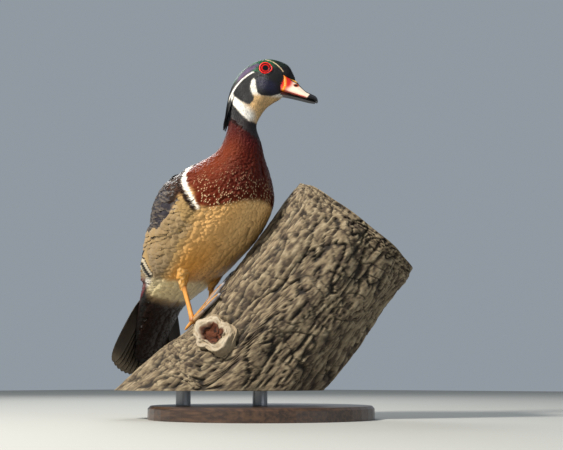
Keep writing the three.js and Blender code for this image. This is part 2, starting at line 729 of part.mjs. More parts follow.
Object.entries(legs).forEach(([name, leg]) => {
  const { solid, knuckle, ankle } = footSolid(leg);
  const shank = (grow) => tube([
    { at: between(knuckle, ankle, -grow / 40), radius: 3.0 + grow },
    { at: between(knuckle, ankle, 0.3), radius: 2.5 + grow, flat: 0.85 },
    { at: between(knuckle, ankle, 0.7), radius: 2.6 + grow, flat: 0.85 },
    { at: between(knuckle, ankle, 0.9), radius: 3.4 + grow },
    { at: ankle, radius: 4.3 + grow },
    { at: between(ankle, spot(leg.hip), 0.12), radius: 3.6 + grow },
  ]);
  const hip = spot(leg.hip);
  const thigh = tube([
    { at: between(ankle, hip, 0.14), radius: 4.0 },
    { at: between(ankle, hip, 0.4), radius: 7.5 },
    { at: between(ankle, hip, 0.8), radius: 12.5 },
    { at: between(ankle, hip, 1.5), radius: 15 },
  ], 16);
  place(`foot_${name}`, cutBy(solid, [limbGrown, shank(seam)]), colours.orange, 0.6);
  place(`shank_${name}`, cutBy(shank(0), [torsoGrown]), colours.orange, 0.55);
  place(`thigh_${name}`, cutBy(thigh, [torsoGrown]), colours.buff, 0.85);
});

export default group;
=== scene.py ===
# A wood duck drake, life size, on a cut length of limb: skin, plumage, bill, eyes, legs, limb and stand.
import math

import bpy
import numpy as np
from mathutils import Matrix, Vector, noise


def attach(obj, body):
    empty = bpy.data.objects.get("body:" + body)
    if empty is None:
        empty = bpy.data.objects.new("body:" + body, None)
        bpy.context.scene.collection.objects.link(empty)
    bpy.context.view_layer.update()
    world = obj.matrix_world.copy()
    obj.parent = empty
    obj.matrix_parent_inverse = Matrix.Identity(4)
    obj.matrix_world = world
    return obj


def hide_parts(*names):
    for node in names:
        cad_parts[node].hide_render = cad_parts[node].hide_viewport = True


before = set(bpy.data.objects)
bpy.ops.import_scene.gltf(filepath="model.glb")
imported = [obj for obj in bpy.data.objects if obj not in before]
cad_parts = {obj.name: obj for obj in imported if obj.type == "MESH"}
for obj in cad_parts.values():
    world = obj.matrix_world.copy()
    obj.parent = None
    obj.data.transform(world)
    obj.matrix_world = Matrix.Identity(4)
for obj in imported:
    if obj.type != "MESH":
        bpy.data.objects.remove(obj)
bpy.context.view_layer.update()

MM = 0.001
TINY = 1e-9
TAU = 2 * math.pi
SIDES = (("right", 1), ("left", -1))
RNG = np.random.default_rng(29)

# Driving sizes, in millimetres and degrees, the same as the solids use
BIRD_AT = np.array([0.0, -40.0, 302.0])
NECK_AXIS_X = 3.0
HEAD_TURN = 40.0
VIEW_TURN = math.radians(40.0)
VIEW_RIGHT = np.array([math.cos(VIEW_TURN), math.sin(VIEW_TURN), 0.0])
VIEW_NEAR = np.array([math.sin(VIEW_TURN), -math.cos(VIEW_TURN), 0.0])
UP = np.array([0, 0, 1.0])

# Each station runs from the line of the back to the line of the belly, from bill to tail:
# back (forward, up), belly (forward, up), half width, squareness, heading in degrees
STATIONS = np.array([
    [64.9, 103.5, 53.5, 87.5, 4.5, 2.0, 40],
    [60.5, 114.0, 49.9, 83.2, 7.0, 2.0, 40],
    [55.3, 121.8, 45.1, 79.9, 9.8, 2.0, 40],
    [44.5, 127.0, 38.5, 76.2, 13.8, 2.1, 40],
    [30.1, 129.2, 31.3, 71.4, 18.0, 2.1, 40],
    [15.7, 125.2, 25.7, 65.3, 19.3, 2.1, 40],
    [1.9, 116.2, 21.5, 58.7, 18.8, 2.1, 40],
    [-7.7, 102.2, 18.1, 52.0, 17.3, 2.0, 40],
    [-12.1, 87.1, 17.3, 44.8, 16.3, 2.0, 39],
    [-13.9, 70.2, 19.1, 37.5, 16.3, 2.0, 34],
    [-14.8, 53.2, 21.5, 30.3, 17.5, 2.0, 25],
    [-18.4, 37.5, 24.0, 21.0, 21.0, 2.0, 15],
    [-24.0, 23.0, 26.0, 8.0, 26.0, 2.1, 7],
    [-34.0, 13.0, 29.0, -9.0, 34.5, 2.2, 2],
    [-51.0, 6.0, 30.0, -28.0, 45.0, 2.3, 0],
    [-71.0, -3.0, 28.0, -46.0, 54.0, 2.4, 0],
    [-88.0, -17.0, 20.0, -62.0, 59.0, 2.4, 0],
    [-101.0, -37.0, 8.5, -77.0, 61.0, 2.4, 0],
    [-111.0, -58.0, -7.0, -93.0, 60.0, 2.4, 0],
    [-119.0, -80.0, -26.0, -108.0, 56.0, 2.4, 0],
    [-127.0, -101.0, -47.0, -124.0, 51.0, 2.4, 0],
    [-135.0, -121.0, -71.0, -139.0, 45.0, 2.3, 0],
    [-142.0, -139.0, -96.0, -152.0, 39.0, 2.2, 0],
    [-148.0, -155.0, -118.0, -166.0, 34.0, 2.1, 0],
    [-153.5, -176.0, -132.0, -184.0, 30.0, 2.0, 0],
    [-158.0, -199.0, -144.0, -204.0, 26.0, 2.0, 0],
    [-163.0, -221.0, -156.0, -224.0, 19.0, 2.0, 0],
    [-166.0, -234.0, -162.0, -235.5, 11.0, 2.0, 0],
])
HEAD_END, BODY_END = 10.0, 27.0

# Crest line of the limb in the upright plane that faces the viewer, from its foot up
LIMB_CREST = np.array([
    [-196, -308], [-138, -257], [-91, -216], [-59, -192],
    [-20, -143], [20, -87], [58, -36], [72, -18],
], float)
LIMB_RADIUS = 86.0
LIMB_DEPTH = -36.0
LIMB_FOOT = 34.0
KNOT_AT = (3.2, math.radians(51))

# The photo's frame, and the place in it that the head's plane is drawn from
PHOTO_WIDTH = 563
MM_PER_PIXEL = 1.2
HEAD_PIXEL = (242.3, 165.0)
UP_PER_PIXEL = 1.21


def linear(code):
    """Linear red, green and blue of an sRGB hex value."""
    value = np.array([int(code[i:i + 2], 16) for i in (1, 3, 5)]) / 255.0
    return np.where(value <= 0.04045, value / 12.92, ((value + 0.055) / 1.055) ** 2.4)


def ease(low, high, value):
    """A soft step from 0 at one value to 1 at the other."""
    t = np.clip((value - low) / (high - low), 0.0, 1.0)
    return t * t * (3 - 2 * t)


def bell(value):
    """Rise and fall between 0 and 1."""
    return np.sin(math.pi * np.clip(value, 0.0, 1.0))


def rows_at(rows, u):
    """Smooth value of a table of rows between its stations."""
    u = np.asarray(u, float)
    last = len(rows) - 1
    i = np.clip(np.floor(u).astype(int), 0, last - 1)
    t = (u - i)[..., None]
    a, b, d, e = (rows[np.clip(i + k, 0, last)] for k in (-1, 0, 1, 2))
    m0 = (d - a) / 2
    m1 = (e - b) / 2
    start = (2 * t**3 - 3 * t**2 + 1) * b + (t**3 - 2 * t**2 + t) * m0
    return start + (3 * t**2 - 2 * t**3) * d + (t**3 - t**2) * m1


def profile(u, angle, over=0.0):
    """Place in the upright plane of a station: forward, up, and out to the bird's right."""
    back_x, back_z, belly_x, belly_z, half, square, heading = np.moveaxis(rows_at(STATIONS, u), -1, 0)
    depth = np.hypot(back_x - belly_x, back_z - belly_z) / 2
    c, s = np.cos(angle), np.sin(angle)
    high = np.sign(c) * np.abs(c) ** (2 / square) * (depth + over)
    side = np.sign(s) * np.abs(s) ** (2 / square) * (half + over)
    forward = (back_x + belly_x) / 2 + (back_x - belly_x) / 2 / depth * high
    up = (back_z + belly_z) / 2 + (back_z - belly_z) / 2 / depth * high
    return forward, up, side, np.radians(heading)


def body(u, angle, over=0.0):
    """Point over the body at a station and an angle from the back to the bird's right."""
    forward, up, side, turn = profile(u, angle, over)
    x = NECK_AXIS_X + forward * np.cos(turn) + side * np.sin(turn)
    y = forward * np.sin(turn) - side * np.cos(turn)
    return np.stack([x, y, up], -1) + BIRD_AT


def head_place(forward, up, side):
    """Point from the head's own plane: forward and up from the neck's axis, and out to the bird's right."""
    turn = math.radians(HEAD_TURN)
    forward, up, side = np.broadcast_arrays(forward, up, side)
    x = NECK_AXIS_X + forward * math.cos(turn) + side * math.sin(turn)
    y = forward * math.sin(turn) - side * math.cos(turn)
    return np.stack([x, y, up.astype(float)], -1) + BIRD_AT


# Raised flank feathers and folded wing: stations they run over, and heights in millimetres
FLANK_FROM, FLANK_TO = 16.2, 21.6
FLANK_HIGH, FLANK_EVEN, FLANK_FOOT = 6.2, 1.2, 112
RIM_AT = [16.2, 16.9, 17.5, 17.95, 18.3, 18.8, 20.0, 21.6]
RIM_ANGLE = [87, 89, 88, 80, 62, 54, 50, 60]
WING_FROM, WING_TO = 15.6, 18.6
WING_EVEN, WING_HIGH = 0.8, 7


def flank_rim(u):
    """Angle in degrees of the flank's free upper edge."""
    return np.interp(u, RIM_AT, RIM_ANGLE)


def flank_rise(u, angle):
    """Height of the flank feathers, highest at their free edge."""
    t = (u - FLANK_FROM) / (FLANK_TO - FLANK_FROM)
    rim = flank_rim(u)
    w = (np.abs(np.degrees(angle)) - rim) / (FLANK_FOOT - rim)
    within = (t > 0) & (t < 1) & (w >= 0) & (w < 1)
    swell = (FLANK_HIGH * np.clip(1 - w, 0, 1) ** 0.8 + FLANK_EVEN) * bell(0.08 + 0.84 * t) ** 0.5
    return np.where(within, swell * ease(1, 0.6, w), 0)


def wing_rise(u, angle):
    """Height of the folded wing under its feathers."""
    a = np.abs(np.degrees(angle))
    t = (u - WING_FROM) / (WING_TO - WING_FROM)
    w = (a - 9) / 81
    across = bell(np.maximum(0.15, 0.1 + 0.85 * w)) ** 0.7
    body_of_wing = WING_EVEN + WING_HIGH * bell(0.12 + 0.8 * t) ** 0.7 * across
    edge = ease(WING_FROM - 0.7, WING_FROM + 0.5, u) * ease(WING_TO + 1.6, WING_TO - 0.8, u)
    return body_of_wing * (edge * ease(104, 88, a))


def relief(u, angle):
    """Height of what lies under the feathers: the flank or the wing."""
    return np.maximum(flank_rise(u, angle), wing_rise(u, angle))


def no_relief(u, angle):
    """No height, for feathers that lie on the bare form."""
    return np.zeros(np.broadcast(u, angle).shape)


# Distances in the photo's plane for the head's markings
def to_line(x, y, line):
    """Distance in pixels from each point to a line through named places."""
    best = np.full(np.shape(x), 1e9)
    for (ax, ay), (bx, by) in zip(line, line[1:]):
        dx, dy = bx - ax, by - ay
        t = np.clip(((x - ax) * dx + (y - ay) * dy) / (dx * dx + dy * dy), 0, 1)
        best = np.minimum(best, np.hypot(x - ax - t * dx, y - ay - t * dy))
    return best


def inside(x, y, outline):
    """Signed distance in pixels to a closed outline, positive inside."""
    within = np.zeros(np.shape(x), bool)
    for (ax, ay), (bx, by) in zip(outline, outline[1:] + outline[:1]):
        crosses = (ay > y) != (by > y)
        within ^= crosses & (x < (bx - ax) * (y - ay) / (by - ay + 1e-9) + ax)
    away = to_line(x, y, outline + outline[:1])
    return np.where(within, away, -away)


# Markings of the head in the photo's frame
BROW_LINE = [(283.4, 72.5), (281.5, 69.5), (277, 65.3), (271.9, 61.6), (266, 60.2)]
CREST_LINE = [
    (253.5, 74.5), (249.5, 76.6), (243.2, 80.9), (238.5, 85.4), (234.9, 90), (230.9, 96.5), (227, 105),
    (223.7, 113.8),
]
CHEEK_SHEEN_LINE = [(262, 86), (272, 90)]
CROWN_LINE = [(238, 80), (250, 70), (266, 64)]
THROAT_LINE = [(231, 97), (240, 110), (249, 118)]
THROAT = [
    (287.5, 94.5), (281, 94.2), (271, 98.0), (262, 98.4), (258.0, 95.8), (256.5, 90), (256.0, 84),
    (254.3, 80.8), (252.0, 83.5), (250.6, 89.5), (251.8, 95.2), (254.6, 99.5), (254.0, 103.2),
    (250, 107.3), (246.5, 106.6), (240.5, 103.0), (235.5, 98.6), (233.0, 95.4), (231.2, 98.6),
    (233.6, 106), (239, 113.5), (244.5, 119.8), (249, 123.2), (256, 124.2), (266, 122), (280, 108), (296, 97),
]
CROWN_SHEEN = [(236, 78), (247, 67), (258, 63), (262, 66), (254, 73), (246, 78), (238, 84)]

GREEN_BLACK = linear("#0a1a12")
CROWN_GREEN = linear("#1f6a3e")
PAINTED_CROWN_SHEEN = linear("#5a3a66")
CHEEK_BLACK = linear("#08080c")
PAINTED_CHEEK_SHEEN = linear("#17183a")
WHITE = linear("#efeae0")
PAINTED_THROAT_SHADE = linear("#cfa463")
BROW_TAN = linear("#c4af8e")
NECK_DARK = linear("#14060a")
NECK_PURPLE = linear("#3c1016")
CHESTNUT = linear("#541b0a")
PAINTED_CHESTNUT_SHEEN = linear("#7a3418")
PAINTED_BREAST_SHADE = linear("#3e0c08")
REFLECTED_BUFF = linear("#d2a468")
REFLECTED_GOLD = linear("#cc9040")
PALE_BELLY = linear("#dcbf8c")
FLANK_TAN = linear("#a18456")
FLANK_GREY = linear("#7c694a")
VENT_CREAM = linear("#e2d0a2")
VENT_BROWN = linear("#5c3a20")
UNDERTAIL = linear("#14100f")
BAR_WHITE = linear("#f2ece0")
BAR_BLACK = linear("#15110f")
MANTLE = linear("#241c18")
SLATE = linear("#2b2830")
MAROON = linear("#5e1a20")
RUMP_BLACK = linear("#1b1a1c")


def mix(first, second, amount):
    """Two colours mixed by an amount for each point."""
    amount = np.asarray(amount)[..., None]
    return first * (1 - amount) + second * amount


def unit(vectors, spare=0.0):
    """Vectors brought to length one; spare keeps a vector of no length finite."""
    return vectors / (np.linalg.norm(vectors, axis=-1, keepdims=True) + spare)


def layered(colour, *layers):
    """A colour with each layer, a shade and an amount, over the one before."""
    for shade, amount in layers:
        colour = mix(colour, shade, amount)
    return colour


def cover(shape, colour):
    """One colour for every point of a shape."""
    return np.broadcast_to(colour, tuple(shape) + (3,)).copy()


def in_photo(forward, up):
    """Pixel across and down of a place in the head's plane."""
    return HEAD_PIXEL[0] + forward / MM_PER_PIXEL, HEAD_PIXEL[1] - up / UP_PER_PIXEL


def head_tint(place):
    """Head colours from a point's place in the photo's plane, the same on both sides."""
    turn = math.radians(HEAD_TURN)
    away = place - BIRD_AT
    ahead = away[..., 0] - NECK_AXIS_X
    x, y = in_photo(ahead * math.cos(turn) + away[..., 1] * math.sin(turn), away[..., 2])
    side = ahead * math.sin(turn) - away[..., 1] * math.cos(turn)
    crown = ease(-1.5, 1.5, 74 - 0.55 * (x - 250) * (x < 250) - 0.30 * (x - 262) * (x > 262) - y)
    throat = ease(-0.35, 0.45, inside(x, y, THROAT))
    # Painted shade: the front and lower part of the white throat is tinted warm tan
    front = ease(-2.0, 6.0, to_line(x, y, THROAT_LINE) - 4) * ease(95, 100, y)
    chin = mix(cover(np.shape(x), WHITE), PAINTED_THROAT_SHADE, 0.9 * front)
    return layered(
        cover(np.shape(x), CHEEK_BLACK),
        # Painted sheen: a blue gloss on the black cheek near a line behind the eye
        (PAINTED_CHEEK_SHEEN, 0.75 * ease(9, 2, to_line(x, y, CHEEK_SHEEN_LINE))),
        (GREEN_BLACK, crown),
        (CROWN_GREEN, crown * ease(12, 3, to_line(x, y, CROWN_LINE)) * 0.6),
        # Painted sheen: a purple highlight on the crown
        (PAINTED_CROWN_SHEEN, ease(-1, 3, inside(x, y, CROWN_SHEEN)) * 0.8),
        (NECK_DARK, ease(-3.0, 1.5, y - 122.5)),
        (chin, throat),
        (BROW_TAN, ease(0.7, 0.35, to_line(x, y, BROW_LINE)) * (np.abs(side) > 6)),
        (WHITE, ease(1.0, 0.55, to_line(x, y, CREST_LINE)) * (np.abs(side) > 5)),
    )


CHESTNUT_AT = [0, 40, 75, 95, 109, 125, 145, 160, 180]
CHESTNUT_TO = [13.6, 14.2, 14.9, 15.6, 16.35, 16.15, 15.5, 15.1, 14.9]
BAR_AT = [20, 55, 66, 87, 95, 109, 118]
BAR_ON = [14.25, 14.6, 15.0, 15.6, 15.95, 16.42, 16.65]


def chestnut_end(angle):
    """Station where the chestnut breast ends, by angle from the back."""
    return np.interp(np.abs(np.degrees(angle)), CHESTNUT_AT, CHESTNUT_TO)


def bar_centre(angle):
    """Station of the middle of the white bar, by angle from the back."""
    return np.interp(np.abs(np.degrees(angle)), BAR_AT, BAR_ON)


def body_tint(u, angle):
    """Body colours by station and angle from the back."""
    a = np.abs(np.degrees(angle))
    front = ease(82, 140, a)
    # Painted sheen: a rose gloss on the sides of the neck and breast
    rose_sheen = ease(130, 80, a) * ease(40, 62, a) * ease(10.0, 12, u) * ease(15.5, 13.5, u)
    edge = chestnut_end(angle)
    # The belly is white: its buff, and the deeper gold low down nearer the limb, are painted warm light
    # reflected from the limb, with a paler middle
    belly_reflection = layered(
        cover(np.shape(a), REFLECTED_BUFF),
        (REFLECTED_GOLD, ease(17.5, 20, u) * ease(110, 135, a) * 0.8),
        (PALE_BELLY, ease(100, 120, a) * ease(150, 175, a) * 0.4),
    )
    rim = flank_rim(u)
    flank = ease(128, 106, a) * ease(rim - 3, rim, a) * ease(15.9, 16.3, u) * ease(21.6, 21.2, u)
    greyer = np.maximum(ease(19.5, 17.5, u) * 0.4, ease(19.0, 20.6, u) * 0.7)
    tan = mix(cover(np.shape(a), FLANK_TAN), FLANK_GREY, greyer)
    bar = bar_centre(angle)
    reach = ease(28, 36, a) * ease(116, 110, a)
    half = np.interp(a, [30, 60, 95, 116], [0.2, 0.165, 0.115, 0.03])
    close = np.interp(a, [84, 93, 110, 180], [21.2, 22.0, 22.4, 22.65])
    return layered(
        cover(np.broadcast(u, angle).shape, CHESTNUT),
        # Painted shade: the chestnut breast darker towards its front
        (PAINTED_BREAST_SHADE, front * ease(16.6, 13.8, u) * 0.9),
        (PAINTED_CHESTNUT_SHEEN, rose_sheen * 0.35),
        (NECK_PURPLE, ease(12.4, 10.2, u) * 0.8),
        # The neck's own dark band, made darker still towards the front as painted shade
        (NECK_DARK, ease(11.2, 9.7, u) * (0.35 + 0.6 * front)),
        (MANTLE, ease(13.2, 14.2, u) * ease(58, 38, a)),
        (belly_reflection, ease(edge - 0.12, edge + 0.35, u) * ease(84, 94, a)),
        (tan, flank * ease(edge - 0.1, edge + 0.2, u)),
        (MANTLE, ease(rim, rim - 3, a) * ease(bar, bar + 0.3, u)),
        (RUMP_BLACK, ease(60, 46, a) * ease(18.5, 20, u)),
        (BAR_WHITE, ease(half + 0.03, half - 0.03, np.abs(u - bar)) * reach),
        (BAR_BLACK, ease(0.18, 0.12, np.abs(u - bar - half - 0.17)) * reach * ease(116, 106, a)),
        (VENT_CREAM, ease(20.9, 21.3, u + 0.004 * (a - 120)) * ease(84, 96, a)),
        (VENT_BROWN, ease(close - 0.25, close + 0.1, u) * ease(80, 100, a) * 0.8),
        (UNDERTAIL, ease(close, close + 0.5, u) * ease(70, 84, a)),
        (RUMP_BLACK, ease(21.6, 22.4, u) * ease(84, 70, a)),
        (BAR_WHITE, ease(0.8, 0.3, np.hypot((u - 21.5) / 0.6, (a - 88) / 10)) * 0.8),
        (MAROON, ease(1.0, 0.6, np.hypot((u - 22.1) / 0.9, (a - 72) / 14))),
    )


def tint_at(u, angle, place):
    """Colour of the plumage: the head's by its place in the photo's plane, the rest by station and angle."""
    u, angle = np.broadcast_arrays(u, angle)
    return np.where((u < HEAD_END)[..., None], head_tint(place), body_tint(u, angle))


# Mesh building
LAYER_KINDS = {1: ("FLOAT", "value"), 3: ("FLOAT_VECTOR", "vector"), 4: ("FLOAT_COLOR", "color")}
FEATHER_PATCH = 0.003
UV_EDGE, UV_SPAN = 0.01, 0.98


def add_layer(mesh, name, values):
    """Named values on the points of a mesh: a number, a vector or a colour for each."""
    values = np.asarray(values, np.float32)
    kind, slot = LAYER_KINDS[1 if values.ndim == 1 else values.shape[-1]]
    mesh.attributes.new(name, kind, "POINT").data.foreach_set(slot, values.ravel())


def new_piece(name, verts, quads, tris, material, uvs=None, normals=None, smooth=True, **layers):
    """A mesh object from arrays: places in millimetres, faces, one uv for each corner, and named layers."""
    quads = np.asarray(quads, np.int32).reshape(-1, 4)
    tris = np.asarray(tris, np.int32).reshape(-1, 3)
    mesh = bpy.data.meshes.new(name)
    mesh.vertices.add(len(verts))
    mesh.vertices.foreach_set("co", (np.asarray(verts, np.float32) * MM).ravel())
    mesh.loops.add(quads.size + tris.size)
    mesh.loops.foreach_set("vertex_index", np.concatenate([quads.ravel(), tris.ravel()]))
    starts = np.concatenate([np.arange(len(quads)) * 4, quads.size + np.arange(len(tris)) * 3])
    mesh.polygons.add(len(quads) + len(tris))
    mesh.polygons.foreach_set("loop_start", starts.astype(np.int32))
    mesh.update(calc_edges=True)
    mesh.polygons.foreach_set("use_smooth", np.full(len(mesh.polygons), smooth))
    if uvs is not None:
        layer = mesh.uv_layers.new(name="OFBake")
        layer.data.foreach_set("uv", np.asarray(uvs, np.float32).ravel())
    for key, values in layers.items():
        add_layer(mesh, key, values)
    mesh.materials.append(material)
    mesh.validate()
    if normals is not None:
        mesh.normals_split_custom_set_from_vertices(normals.astype(np.float32).tolist())
    piece = bpy.data.objects.new(name, mesh)
    bpy.context.collection.objects.link(piece)
    return piece


def with_alpha(colour):
    return np.concatenate([colour, np.ones(colour.shape[:-1] + (1,))], -1)


def keep(piece, slot, *nodes):
    """Ride a piece on the body and hide the nodes it stands for; the slot is not used."""
    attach(piece, "root")
    if nodes:
        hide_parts(*nodes)
    return piece


def grid_faces(rows, columns, wrap):
    """Quads of a grid of points, rows by columns, wrapped round its columns where asked."""
    r = np.arange(rows - 1)[:, None]
    c = np.arange(columns if wrap else columns - 1)[None, :]
    d = (c + 1) % columns
    near, far = r * columns, (r + 1) * columns
    return np.stack([near + c, near + d, far + d, far + c], -1).reshape(-1, 4)


def grid_uvs(rows, columns):
    """Corner uvs that match the quads of a wrapped grid."""
    r = np.arange(rows - 1)[:, None] / (rows - 1)
    c = np.arange(columns)[None, :] / columns
    s, d = 1 / (rows - 1), 1 / columns
    r, c = np.broadcast_arrays(r, c)
    corners = [np.stack(pair, -1) for pair in ((r, c), (r, c + d), (r + s, c + d), (r + s, c))]
    return UV_EDGE + UV_SPAN * np.stack(corners, 2).reshape(-1, 2)


def tube_piece(name, rings, material, **layers):
    """Closed skin through rings of points, with a pole at each end; layers hold one value for each point."""
    rows, columns = rings.shape[:2]
    poles = np.stack([rings[0].mean(0), rings[-1].mean(0)])
    verts = np.concatenate([rings.reshape(-1, 3), poles])
    quads = grid_faces(rows, columns, True)
    k = np.arange(columns)
    n = (k + 1) % columns
    first, last = rows * columns, rows * columns + 1
    tail = (rows - 1) * columns
    tris = np.concatenate([
        np.stack([n, k, np.full(columns, first)], -1),
        np.stack([tail + k, tail + n, np.full(columns, last)], -1),
    ])
    # A fan's corners share the uv of the ring beside it
    fans = [np.tile([[end, 0.5]], (3 * columns, 1)) for end in (0.005, 0.995)]
    flat = np.concatenate([grid_uvs(rows, columns), *fans])
    p, q, r, s = (verts[quads[:, corner]] for corner in range(4))
    volume = np.einsum("ij,ij->i", p, np.cross(q, r)).sum() + np.einsum("ij,ij->i", p, np.cross(r, s)).sum()
    if volume < 0:
        quads, tris = quads[:, ::-1], tris[:, ::-1]
        flat[:len(quads) * 4] = flat[:len(quads) * 4].reshape(-1, 4, 2)[:, ::-1].reshape(-1, 2)
    ends = {}
    for key, v in layers.items():
        ends[key] = np.concatenate([v.reshape((rows * columns,) + v.shape[2:]), v[0, :1], v[-1, :1]])
    return new_piece(name, verts, quads, tris, material, flat, **ends)


# One small feather: a thin closed leaf, as places along it, across it and through it
def leaf(along, widths, columns):
    """Template of a leaf: along and across from -1 to 1, through from -1 to 1, with its faces."""
    across = np.linspace(-1, 1, columns)
    ring = np.concatenate([across, across[-2:0:-1]])
    through = np.concatenate([1 - across**2, -(1 - across[-2:0:-1] ** 2)])
    n = len(ring)
    t = np.concatenate([[0.0], np.repeat(along, n), [1.0]])
    w = np.concatenate([[0.0], np.tile(ring, len(along)), [0.0]])
    h = np.concatenate([[0.0], np.tile(through, len(along)), [0.0]])
    wide = np.concatenate([[0.0], np.repeat(widths, n), [0.0]])
    quads = grid_faces(len(along), n, True) + 1
    k = np.arange(n)
    last = 1 + len(along) * n
    tris = np.concatenate([
        np.stack([1 + (k + 1) % n, 1 + k, np.zeros(n, int)], -1),
        np.stack([last - n + k, last - n + (k + 1) % n, np.full(n, last)], -1),
    ])
    return {"t": t, "w": w, "h": h, "wide": wide, "quads": quads, "tris": tris}


FINE_LEAF = leaf(np.array([0.35, 0.78]), np.array([0.85, 0.9]), 3)
SMALL_LEAF = leaf(np.array([0.3, 0.68, 0.92]), np.array([0.8, 1.0, 0.62]), 3)
BODY_LEAF = leaf(np.array([0.2, 0.5, 0.75, 0.91, 0.985]), np.array([0.6, 1.0, 1.0, 0.74, 0.34]), 5)


def unwrap(u, angle):
    """Place of a point of the skin on its own flat unwrap."""
    return np.stack([UV_EDGE + UV_SPAN * u / BODY_END, UV_EDGE + UV_SPAN * (angle + math.pi) / TAU], -1)


def units(u, angle):
    """Millimetres for one station and for one radian at a place on the body."""
    step = 0.01
    along = np.linalg.norm(body(u + step, angle) - body(u - step, angle), axis=-1) / (2 * step)
    across = np.linalg.norm(body(u, angle + step) - body(u, angle - step), axis=-1) / (2 * step)
    return along, across


ROWS_PER_STATION = 44
ROOT_SHARE = 0.98
ROOT_REACH = 60


def seed_roots(u_from, u_to, density, angle_from=-math.pi, angle_to=math.pi, columns=720):
    """Even scatter of feather roots over the body, at so many a square millimetre."""
    rows = int((u_to - u_from) * ROWS_PER_STATION)
    step_u = (u_to - u_from) / rows
    step_a = (angle_to - angle_from) / columns
    u = u_from + (np.arange(rows) + 0.5) * step_u
    a = angle_from + (np.arange(columns) + 0.5) * step_a
    gu, ga = np.meshgrid(u, a, indexing="ij")
    along, across = units(gu, ga)
    share = density(gu, ga) * along * across * step_u * step_a
    roots = []
    carried = np.zeros(columns)
    for row in range(rows):
        carried += share[row]
        total = np.cumsum(carried)
        if total[-1] < 1:
            continue
        hits = np.searchsorted(total, np.arange(0.5 + RNG.random() * 0.5, total[-1], 1.0))
        # A root uses up the share round it, so the next ring fills the gaps
        for hit in hits[RNG.permutation(len(hits))]:
            for reach in range(0, ROOT_REACH, 2):
                span = slice(max(0, hit - reach), hit + reach + 1)
                if carried[span].sum() >= ROOT_SHARE:
                    carried[span] = 0
                    roots.append((u[row], a[hit]))
                    break
    return np.array(roots)


def marks_of(u, spot=0.0, wave=0.0, band=0.0):
    """How much each feather shows of a spot, of fine waves, and of an edge or band."""
    return np.stack([np.broadcast_to(amount, np.shape(u)) for amount in (spot, wave, band)], -1)


def no_mark(u, angle):
    return marks_of(u)


def one_mark(band):
    """Mark of feathers that all carry the same edge or band."""
    def mark(u, angle):
        return marks_of(u, band=band)
    return mark


def one_shade(shade):
    """Colour of feathers that are all alike."""
    def colour(u, angle, place):
        return cover(np.shape(u), shade)
    return colour


def same_size(long, wide):
    """Size of feathers that are all as long and as wide."""
    def size(u, angle):
        return np.full(np.shape(u), long), np.full(np.shape(u), wide)
    return size


def feather_piece(name, template, place, out, tilt, across, along, seed, mark, shade, patch, material):
    """One mesh of many leaves: every array but the template's has a row for each feather."""
    w, t, h = template["w"], template["t"], template["h"]
    count, spots = place.shape[:2]
    normal = unit(out + tilt, TINY) * np.where(h < 0, -1.0, 1.0)[None, :, None]
    flat = np.ones((count, spots))
    barb = np.stack([across * flat, along * flat, seed[:, None] * flat], -1)
    vane = np.stack([w * flat, t * flat, seed[:, None] * flat], -1)
    shift = (np.arange(count) * spots)[:, None, None]
    quads = (template["quads"][None] + shift).reshape(-1, 4)
    tris = (template["tris"][None] + shift).reshape(-1, 3)
    top = template["quads"][np.argmax(h[template["quads"]].sum(1))]
    turned = np.cross(place[:, top[1]] - place[:, top[0]], place[:, top[2]] - place[:, top[1]])
    if np.einsum("ij,ij->i", turned, out[:, top[0]]).sum() < 0:
        quads, tris = quads[:, ::-1], tris[:, ::-1]
    spread = patch[:, None, :] + FEATHER_PATCH * (np.stack([(w + 1) / 2, t], -1)[None] - 0.5)
    spread = spread.reshape(-1, 2)
    corners = np.concatenate([spread[quads.ravel()], spread[tris.ravel()]])
    marks = np.broadcast_to(mark[:, None, :], (count, spots, 3))
    return new_piece(
        name, place.reshape(-1, 3), quads, tris, material, corners, normal.reshape(-1, 3),
        tint=with_alpha(shade.reshape(-1, 3)), barb=barb.reshape(-1, 3), vane=vane.reshape(-1, 3),
        mark=marks.reshape(-1, 3),
    )


def surface_out(u, angle, rise):
    """Unit vectors out of the plumage, towards the tail and across it."""
    step = 0.02
    du = body(u + step, angle, rise(u + step, angle)) - body(u - step, angle, rise(u - step, angle))
    da = body(u, angle + step, rise(u, angle + step)) - body(u, angle - step, rise(u, angle - step))
    du, da = unit(du, TINY), unit(da, TINY)
    return unit(np.cross(du, da), TINY), du, da


def lay(name, root, tip, wide, material, template, low=-1.0, high=0.8, rise=relief, thick=0.22,
        colour=tint_at, mark=no_mark, ragged=0.05, pillow=0.5, camber=0.1):
    """Thin feathers on the body, each from a root to a tip given by station and angle."""
    t, w, h = (template[key][None, :] for key in ("t", "w", "h"))
    count = len(root)
    seed = RNG.random(count)
    torn = t * (1 - ragged * RNG.random((count, t.shape[1])) * (t > 0.7))
    run_u, run_a = (tip - root)[:, :1], (tip - root)[:, 1:]
    line_u = root[:, :1] + run_u * torn
    line_a = root[:, 1:] + run_a * torn
    unit_u, unit_a = units(line_u, line_a)
    length = np.hypot(run_u * unit_u, run_a * unit_a) + 1e-6
    x = w * template["wide"] * wide[:, None] / 2
    u = np.clip(line_u - x * run_a * unit_a / length / unit_u, 0.0, BODY_END)
    a = line_a + x * run_u * unit_u / length / unit_a
    low, high = (np.broadcast_to(v, (count,))[:, None] for v in (low, high))
    over = rise(u, a) + low + (high - low) * torn**0.8
    over = over - camber * np.abs(x) ** 1.5 / np.sqrt(wide[:, None] + 1) + h * thick * (1 - 0.6 * t)
    place = body(u, a, over)
    out, du, da = surface_out(u, a, rise)
    out = out * np.sign(np.einsum("ijk,ijk->ij", out, place - body(u, a, over - 6)))[..., None]
    tilt = (pillow * w * (0.4 + t))[..., None] * da + (0.5 * pillow * t**3)[..., None] * du
    return feather_piece(name, template, place, out, tilt, x, torn * length, seed, mark(*root.T),
                         colour(u, a, place), unwrap(*root.T), material)


